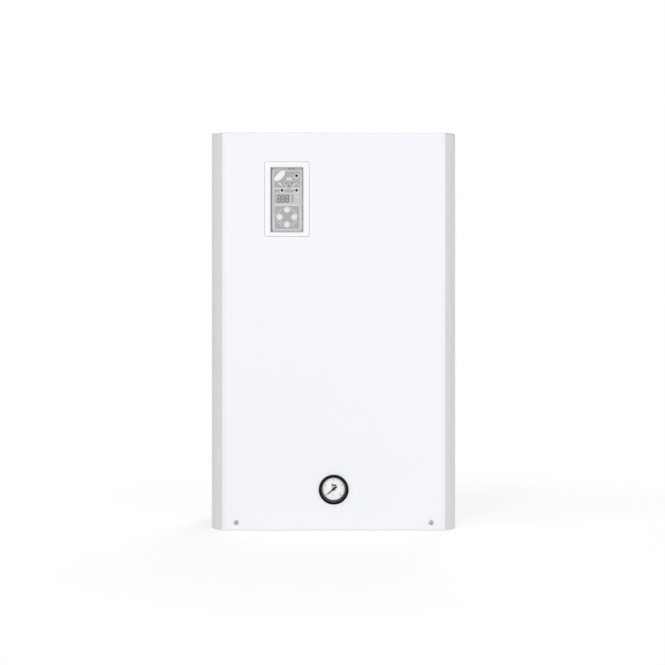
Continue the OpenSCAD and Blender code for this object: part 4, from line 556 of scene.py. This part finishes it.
# Leads by their place from left to right: brown, black, grey, blue and green-yellow to the mains block,
# then a pale ribbon and the dark heater leads. These bands take the place of the sleeve's own tone.
leadSet = {"from": -0.2, "to": 0.2,
           "tones": [(0.0, (98, 58, 36)), (0.085, (28, 28, 30)), (0.13, (128, 130, 134)),
                     (0.175, (40, 92, 176)), (0.218, (146, 168, 46)), (0.27, (176, 178, 184)),
                     (0.4, (96, 52, 34))]}
tree = finishes["cableSleeve"].node_tree
axes = coordinates(tree)[1]
leadColours = bands(tree, axes[0], leadSet["from"], leadSet["to"], leadSet["tones"])
tree.links.new(leadColours, tree.nodes["Principled BSDF"].inputs["Base Color"])

# The hose's braid: two sets of slanting bands over each other, darker where they lie low, which is painted
# shade between the strands.
braid = {"slants": (45, -45), "tilt": 3, "scale": 190, "cover": 0.55, "between": (84, 86, 92)}
mat = finishes["braidedSteel"]
tree = mat.node_tree
where, axes = coordinates(tree)
strands = []
for turn in braid["slants"]:
    slant = tree.nodes.new("ShaderNodeMapping")
    slant.inputs["Rotation"].default_value = (0, math.radians(turn), math.radians(turn / braid["tilt"]))
    tree.links.new(where, slant.inputs["Vector"])
    wave = tree.nodes.new("ShaderNodeTexWave")
    wave.inputs["Scale"].default_value = braid["scale"]
    tree.links.new(slant.outputs[0], wave.inputs["Vector"])
    strands.append(wave.outputs["Fac"])
weave = addMath(tree, "MULTIPLY", strands[0], strands[1])
relief = [n for n in tree.nodes if n.type == "BUMP"][0]
tree.links.new(weave, relief.inputs["Height"])
# Painted shade: the braid's tone is darkened where the weave lies low, between the strands.
between = addMath(tree, "SUBTRACT", 1.0, weave)
overlay(mat, addMath(tree, "MULTIPLY", between, braid["cover"]), braid["between"])

# Clear window of the gauge: a mirror as weak as Fresnel's law makes it, and open for the rest.
window = {"tint": (0.97, 0.985, 1.0, 1), "hazeScale": 60, "rough": 0.06, "ior": 1.46}
glass = bpy.data.materials.new("clearWindow")
glass.use_nodes = True
tree = glass.node_tree
shader = tree.nodes["Principled BSDF"]
shader.inputs["Metallic"].default_value = 1.0
shader.inputs["Base Color"].default_value = window["tint"]
place = tree.nodes.new("ShaderNodeTexCoord")
haze = tree.nodes.new("ShaderNodeTexNoise")
haze.inputs["Scale"].default_value = window["hazeScale"]
sheen = tree.nodes.new("ShaderNodeFresnel")
sheen.inputs["IOR"].default_value = window["ior"]
tree.links.new(place.outputs["Object"], haze.inputs["Vector"])
tree.links.new(addMath(tree, "MULTIPLY", haze.outputs["Fac"], window["rough"]), shader.inputs["Roughness"])
side = tree.nodes.new("ShaderNodeNewGeometry")
facingIn = addMath(tree, "SUBTRACT", 1.0, side.outputs["Backfacing"])
tree.links.new(addMath(tree, "MULTIPLY", sheen.outputs[0], facingIn), shader.inputs["Alpha"])
finishes["clearWindow"] = glass

finishOf = {
    "front_cover": "whiteCoat", "side_panel_left": "greyCoat", "side_panel_right": "greyCoat",
    "side_panel_screws": "brightScrew", "cover_screws": "brightScrew", "back_plate": "zincSheet",
    "bottom_tray": "zincSheet", "panel_bezel": "bezelPlastic", "panel_fascia": "fasciaFilm",
    "display_lens": "displayWindow", "indicator_lenses": "darkLamp", "key_up": "keyPlastic",
    "key_right": "keyPlastic", "key_down": "keyPlastic", "key_left": "keyPlastic",
    "display_board": "display_board", "panel_housing": "paleHousing", "panel_bracket": "zincSheet",
    "gauge_case": "gaugeBlack", "gauge_dial": "dialWhite", "gauge_needle": "needleBlack",
    "gauge_lens": "clearWindow", "gauge_movement": "brassBody", "heating_tank": "stainless",
    "heater_flange": "brassBody", "gaskets": "rubber", "flange_bolts": "brightScrew",
    "pump_screws": "blackScrew", "heating_elements": "sheathSteel", "tank_clamps": "zincSheet",
    "pump_housing": "castBlack", "pump_motor": "motorPaint", "pump_rotor": "rotorSteel",
    "pump_speed_knob": "redPlastic", "pipe_nuts": "nickelNut", "return_connector": "brassBody",
    "flow_connector": "brassBody", "flow_pipe": "copperPipe", "vent_tee": "brassBody",
    "manifold": "brassBody", "flow_sensor": "blackNylon", "flow_turbine": "naturalPlastic",
    "safety_valve": "brassBody", "safety_valve_knob": "redPlastic", "valve_disc": "brassBody",
    "valve_spring": "springWire", "discharge_pipe": "copperPipe", "air_vent": "brassBody",
    "air_vent_float": "naturalPlastic", "expansion_vessel": "redEnamel", "vessel_diaphragm": "rubber",
    "vessel_hose": "braidedSteel", "electronics_tray": "zincSheet", "main_board": "main_board",
    "terminal_block": "palePlastic", "thermal_cutout": "cutoutPlastic", "cutout_button": "redPlastic",
    "triac_saddle": "finnedAlloy", "wiring": "cableSleeve", "cable_glands": "blackNylon",
}
for nodeName, ob in nodes.items():
    ob.data.materials.clear()
    ob.data.materials.append(finishes[finishOf[nodeName]])
print("finishes on", len(finishOf), "nodes")

# The valve's spring shortens towards its fixed end while its disc lifts; here it only gets a mesh of its own,
# and the numbers for that movement are listed but not used.
spring = {"node": "valve_spring", "joint": "relief_disc_lift", "fixedEnd": -0.134, "lift": 0.0015}
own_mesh(nodes[spring["node"]])

# Printing: flat shapes of one colour in one piece, a few hundredths of a millimetre thick.
# Places are in millimetres, x to the right and z up, from the middle of what carries them.
inkMark = {"thick": 0.00004, "sunk": 0.00001, "cornerSteps": 3}
upright = (math.radians(90), 0, 0)      # stands a flat shape up, facing the front


# A new piece with nothing in it yet, left in edit mode.
def startInk(name):
    deselectAll()
    bpy.ops.mesh.primitive_plane_add(size=0.001)
    ink = bpy.context.object
    ink.name = name
    ink.data.name = name
    bpy.ops.object.mode_set(mode="EDIT")
    bpy.ops.mesh.delete(type="VERT")
    return ink


def inkPlace(ground, x, z):
    return (ground.x + x / 1000, ground.y, ground.z + z / 1000)


# A bar of width w and height h, turned clockwise by turn degrees, with its corners rounded.
def inkBar(ground, x, z, w, h, turn=0, corner=0):
    at = inkPlace(ground, x, z)
    bpy.ops.mesh.select_all(action="DESELECT")
    bpy.ops.mesh.primitive_plane_add(size=1, location=at, rotation=upright)
    bpy.ops.transform.resize(value=(w / 1000, 1, h / 1000), center_override=at)
    if corner:
        bpy.ops.mesh.bevel(affect="VERTICES", offset=corner / 1000, segments=inkMark["cornerSteps"])
    if turn:
        bpy.ops.transform.rotate(value=math.radians(-turn), orient_axis="Y", center_override=at)


# A filled round or oval; with wall it is only a rim of that width.
def inkRound(ground, x, z, r, across=None, turn=0, wall=0, steps=28):
    at = inkPlace(ground, x, z)
    bpy.ops.mesh.select_all(action="DESELECT")
    bpy.ops.mesh.primitive_circle_add(vertices=steps, radius=r / 1000, fill_type="NGON", location=at,
                                      rotation=upright)
    if across:
        bpy.ops.transform.resize(value=(1, 1, across / r), center_override=at)
    if turn:
        bpy.ops.transform.rotate(value=math.radians(-turn), orient_axis="Y", center_override=at)
    if wall:
        bpy.ops.mesh.inset(thickness=wall / 1000)
        bpy.ops.mesh.delete(type="FACE")


# Gives the flat shapes their thickness and their finish, and fastens the piece.
def finishInk(ink, finish, body, thick=None):
    thick = thick or inkMark["thick"]
    bpy.ops.mesh.select_all(action="SELECT")
    bpy.ops.transform.translate(value=(0, inkMark["sunk"], 0))
    bpy.ops.mesh.extrude_region_move(TRANSFORM_OT_translate={"value": (0, -thick - inkMark["sunk"], 0)})
    bpy.ops.mesh.select_all(action="SELECT")
    bpy.ops.mesh.normals_make_consistent(inside=False)
    bpy.ops.object.mode_set(mode="OBJECT")
    ink.data.materials.append(finishes[finish])
    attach(ink, body)
    deselectAll()


# The middle of a node's front, and its size.
def faceOf(nodeName):
    low, high = (Vector(corner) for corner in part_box(nodeName))
    return Vector(((low.x + high.x) / 2, low.y, (low.z + high.z) / 2)), high - low


# One piece of printing from its bars and rounds.
def printPiece(name, ground, finish, bars=(), rounds=(), body="root", thick=None):
    ink = startInk(name)
    for bar in bars:
        inkBar(ground, *bar)
    for spot in rounds:
        inkRound(ground, **spot)
    finishInk(ink, finish, body, thick)


inks = {
    "fieldInk": (169, 169, 170), "paleInk": (214, 214, 216), "whiteInk": (238, 238, 241),
    "darkInk": (128, 124, 124), "digitInk": (116, 112, 111), "dotInk": (58, 54, 53),
    "dialInk": (44, 42, 44), "dialGrey": (120, 120, 122),
}
inkLook = {"size": 0.0004, "spread": 0.05, "rough": (0.42, 0.54), "bump": (0.06, 0.00001), "edge": 0.0001}
for inkName, tone in inks.items():
    finishes[inkName] = makeFinish(inkName, tone, **inkLook)

fasciaAt = faceOf("panel_fascia")[0]
lensAt = faceOf("display_lens")[0]

# Bars are x, z, width, height, turn and the rounding of their corners.
fields = {
    "upper": (0.5, 33.7, 42.0, 26.6, 0, 0.7), "strip": (-4.6, 14.6, 33.0, 4.8, 0, 0.7),
    "keypad": (0.2, -29.4, 40.2, 37.6, 0, 0.7), "topBand": (0.2, 51.0, 47.0, 3.4, 0, 0.7),
    "footBand": (0.2, -51.9, 47.0, 1.9, 0, 0.7), "rightBand": (25.7, -31.0, 1.9, 41.0, 0, 0.7),
}
printPiece("fasciaFields", fasciaAt, "fieldInk", bars=fields.values(), thick=0.00002)

paleBars = [
    (0.0, 18.9, 41.5, 1.8, 0, 0.6),        # over the lamps' strip
    (0.0, -8.7, 41.5, 1.9, 0, 0.6),        # over the keys
    (21.7, -29.6, 1.5, 37.0, 0, 0.5),      # right of the keys
    (0.2, -50.0, 40.5, 1.2, 0, 0.4),       # under the keys
    (-22.2, -40.5, 1.8, 22.0, 0, 0.5),     # left of the keys
    (4.0, 34.6, 9.0, 4.6, 0, 1.6),         # over the three small lamps
    (-11.5, 26.0, 8.5, 2.6, 40, 0.9),      # under the oval
    (13.2, 25.6, 1.0, 7.6, 45),            # the roof on the right
    (18.2, 25.6, 1.0, 7.6, -45),
]
keyLines = [(12.9, -20.4, 17.5, 1.1, 45), (12.4, -39.5, 14.5, 1.1, -45), (10.0, -37.0, 11.0, 0.8, -45)]
keyLinesAt = -0.2
for side in (-1, 1):
    paleBars += [(side * x + keyLinesAt, z, w, h, side * turn) for x, z, w, h, turn in keyLines]
paleRounds = [
    {"x": 16.2, "z": 39.0, "r": 4.6, "wall": 1.5}, {"x": -8.1, "z": 14.6, "r": 3.9, "wall": 1.5},
    {"x": 16.0, "z": 14.6, "r": 3.9, "wall": 1.5}, {"x": 3.7, "z": 25.9, "r": 7.4, "wall": 0.9},
]
printPiece("fasciaLines", fasciaAt, "paleInk", bars=paleBars, rounds=paleRounds)

# The bare oval, and small marks right of the display.
oval = {"x": -11.9, "z": 39.5, "r": 11.2, "across": 5.1, "turn": -45, "steps": 48}
smallMarks = [(15.0, 5.8, 1.2, 1.2, 45, 0.3), (18.6, 3.6, 1.2, 1.2, 45, 0.3), (17.8, -3.6, 1.6, 1.6, 45, 0.3)]
printPiece("fasciaOval", fasciaAt, "whiteInk", bars=smallMarks, rounds=[oval], thick=0.00006)

borderBars = [
    (-25.6, 0.0, 2.1, 105.6, 0, 0.5), (-24.3, 51.4, 2.8, 2.8, 0, 1.0), (-24.3, -51.4, 2.8, 2.8, 0, 1.0),
    (24.6, -51.6, 2.4, 2.4, 0, 0.9), (24.8, 51.2, 2.8, 2.8, 45, 0.9),
]
printPiece("fasciaBorder", fasciaAt, "darkInk", bars=borderBars)

# Dots along the top and down the right edge, the lower ones further apart.
dots = {
    "topX": (2.7, 6.0, 9.3, 12.6), "topZ": 51.0, "topW": 1.5, "topH": 1.9, "corner": 0.4,
    "rightX": 25.8, "first": 47.7, "pitch": 3.317, "count": 16, "lowerZ": (-8.5, -12.1, -18.6, -31.9, -48.4),
    "size": 1.6,
}
dotBars = [(x, dots["topZ"], dots["topW"], dots["topH"], 0, dots["corner"]) for x in dots["topX"]]
rightZ = [dots["first"] - dots["pitch"] * i for i in range(dots["count"])] + list(dots["lowerZ"])
dotBars += [(dots["rightX"], z, dots["size"], dots["size"], 0, dots["corner"]) for z in rightZ]
printPiece("fasciaDots", fasciaAt, "dotInk", bars=dotBars, thick=0.00005)

# Three digits of seven bars each, leaning to the right, and the bracket left of them.
digit = {"w": 5.9, "h": 12.8, "bar": 1.7, "gap": 0.2, "lean": 5, "pitch": 6.9, "first": -5.3, "up": -0.8,
         "corner": 0.3}
halfH = digit["h"] / 2
halfW = (digit["w"] - digit["bar"]) / 2
digitsX = [digit["first"] + i * digit["pitch"] for i in range(3)]
levelLong = digit["w"] - digit["bar"] - 2 * digit["gap"]
uprightLong = halfH - digit["bar"] / 2 - 2 * digit["gap"]
digitBars = []
for row in (-1, -0.5, 0, 0.5, 1):
    rowZ = row * (halfH - digit["bar"] / 2)
    shift = rowZ * math.tan(math.radians(digit["lean"]))
    for x in digitsX:
        if row in (-0.5, 0.5):
            digitBars += [(x + shift + side * halfW, digit["up"] + rowZ, digit["bar"], uprightLong,
                           digit["lean"], digit["corner"]) for side in (-1, 1)]
        else:
            digitBars.append((x + shift, digit["up"] + rowZ, levelLong, digit["bar"], 0, digit["corner"]))
printPiece("displayDigits", lensAt, "digitInk", bars=digitBars)
bracket = {
    "upright": (-11.6, 0.2, 0.9, 13.0, 0, 0.2), "top": (-10.9, 6.6, 2.2, 0.8, 0, 0.2),
    "foot": (-10.9, -6.2, 2.2, 0.8, 0, 0.2),
}
printPiece("displayBracket", lensAt, "fieldInk", bars=bracket.values())

# Small arrows on the keys, pointing to the middle of the four.
arrows = {"up": (0, -1), "down": (0, 1), "left": (1, 0), "right": (-1, 0)}
for keyName, (towardsX, towardsZ) in arrows.items():
    pointing = math.degrees(math.atan2(towardsX, towardsZ))
    arrow = {"x": 0, "z": 0, "r": 2.6, "turn": pointing, "wall": 0.75, "steps": 3}
    keyAt = faceOf("key_" + keyName)[0]
    printPiece(keyName + "Arrow", keyAt, "whiteInk", rounds=[arrow], body=keyName + "_key")
print("panel printed")

# The dial: a scale from 0 to 4, its unit, and a plain ring where such dials carry a mark of their class.
# Angles are in degrees: zero counts from the right, and the span runs clockwise over the whole scale.
dial = {
    "zero": 220.0, "span": 260.0, "parts": 20, "numberEvery": 5, "middleMarks": (7, 8, 12, 13),
    "outer": 17.6, "long": 3.9, "middle": 2.7, "short": 1.4, "broad": 1.0, "fine": 0.45,
    "numbersAt": 11.6, "numberSize": 3.4, "numberWeight": 0.04,
    "ring": {"x": -0.6, "z": -9.8, "r": 2.3, "wall": 0.5},
    "rimGap": 0.05, "rimWall": 0.75, "rimSteps": 96,
    "unitSize": 6.6, "unitWeight": 0.34, "unitX": 0.7, "unitZ": 6.7,
    "lineBelow": 3.6, "lineW": 8.6, "lineH": 0.6,
}
lettersSet = {"curves": 4, "merge": 0.000002}


# Words or numbers, made a mesh and joined to a piece that is already finished.
def addWords(ink, ground, words, finish):
    made = []
    for text, x, z, size, weight in words:
        bpy.ops.object.text_add(location=inkPlace(ground, x, z), rotation=upright)
        letters = bpy.context.object
        letters.data.body = text
        letters.data.size = size / 1000
        letters.data.align_x = "CENTER"
        letters.data.align_y = "CENTER"
        letters.data.extrude = inkMark["thick"]
        letters.data.offset = weight / 1000
        letters.data.resolution_u = lettersSet["curves"]
        bpy.ops.object.convert(target="MESH")
        bpy.ops.object.mode_set(mode="EDIT")
        bpy.ops.mesh.select_all(action="SELECT")
        bpy.ops.mesh.remove_doubles(threshold=lettersSet["merge"])
        bpy.ops.mesh.normals_make_consistent(inside=False)
        bpy.ops.object.mode_set(mode="OBJECT")
        letters.data.materials.clear()
        letters.data.materials.append(finishes[finish])
        made.append(letters)
        deselectAll()
    for letters in made:
        letters.select_set(True)
    ink.select_set(True)
    bpy.context.view_layer.objects.active = ink
    bpy.ops.object.join()
    deselectAll()


dialAt, dialSize = faceOf("gauge_dial")
ink = startInk("dialScale")
numbers = []
for i in range(dial["parts"] + 1):
    numbered = i % dial["numberEvery"] == 0
    angle = dial["zero"] - dial["span"] * i / dial["parts"]
    outX, outZ = math.cos(math.radians(angle)), math.sin(math.radians(angle))
    length = dial["long"] if numbered else dial["middle"] if i in dial["middleMarks"] else dial["short"]
    middle = dial["outer"] - length / 2
    width = dial["broad"] if numbered else dial["fine"]
    inkBar(dialAt, middle * outX, middle * outZ, length, width, turn=-angle)
    if numbered:
        numbers.append((str(i // dial["numberEvery"]), dial["numbersAt"] * outX, dial["numbersAt"] * outZ,
                        dial["numberSize"], dial["numberWeight"]))
inkRound(dialAt, **dial["ring"])
finishInk(ink, "dialGrey", "root")
addWords(ink, dialAt, numbers, "dialGrey")

# A dark rim round the dial, the unit and the line under it.
ink = startInk("dialUnit")
inkRound(dialAt, 0, 0, dialSize.x / 2 * 1000 - dial["rimGap"], wall=dial["rimWall"], steps=dial["rimSteps"])
inkBar(dialAt, dial["unitX"], dial["unitZ"] - dial["lineBelow"], dial["lineW"], dial["lineH"])
finishInk(ink, "dialInk", "root")
unit = ("bar", dial["unitX"], dial["unitZ"], dial["unitSize"], dial["unitWeight"])
addWords(ink, dialAt, [unit], "dialInk")
print("dial printed")
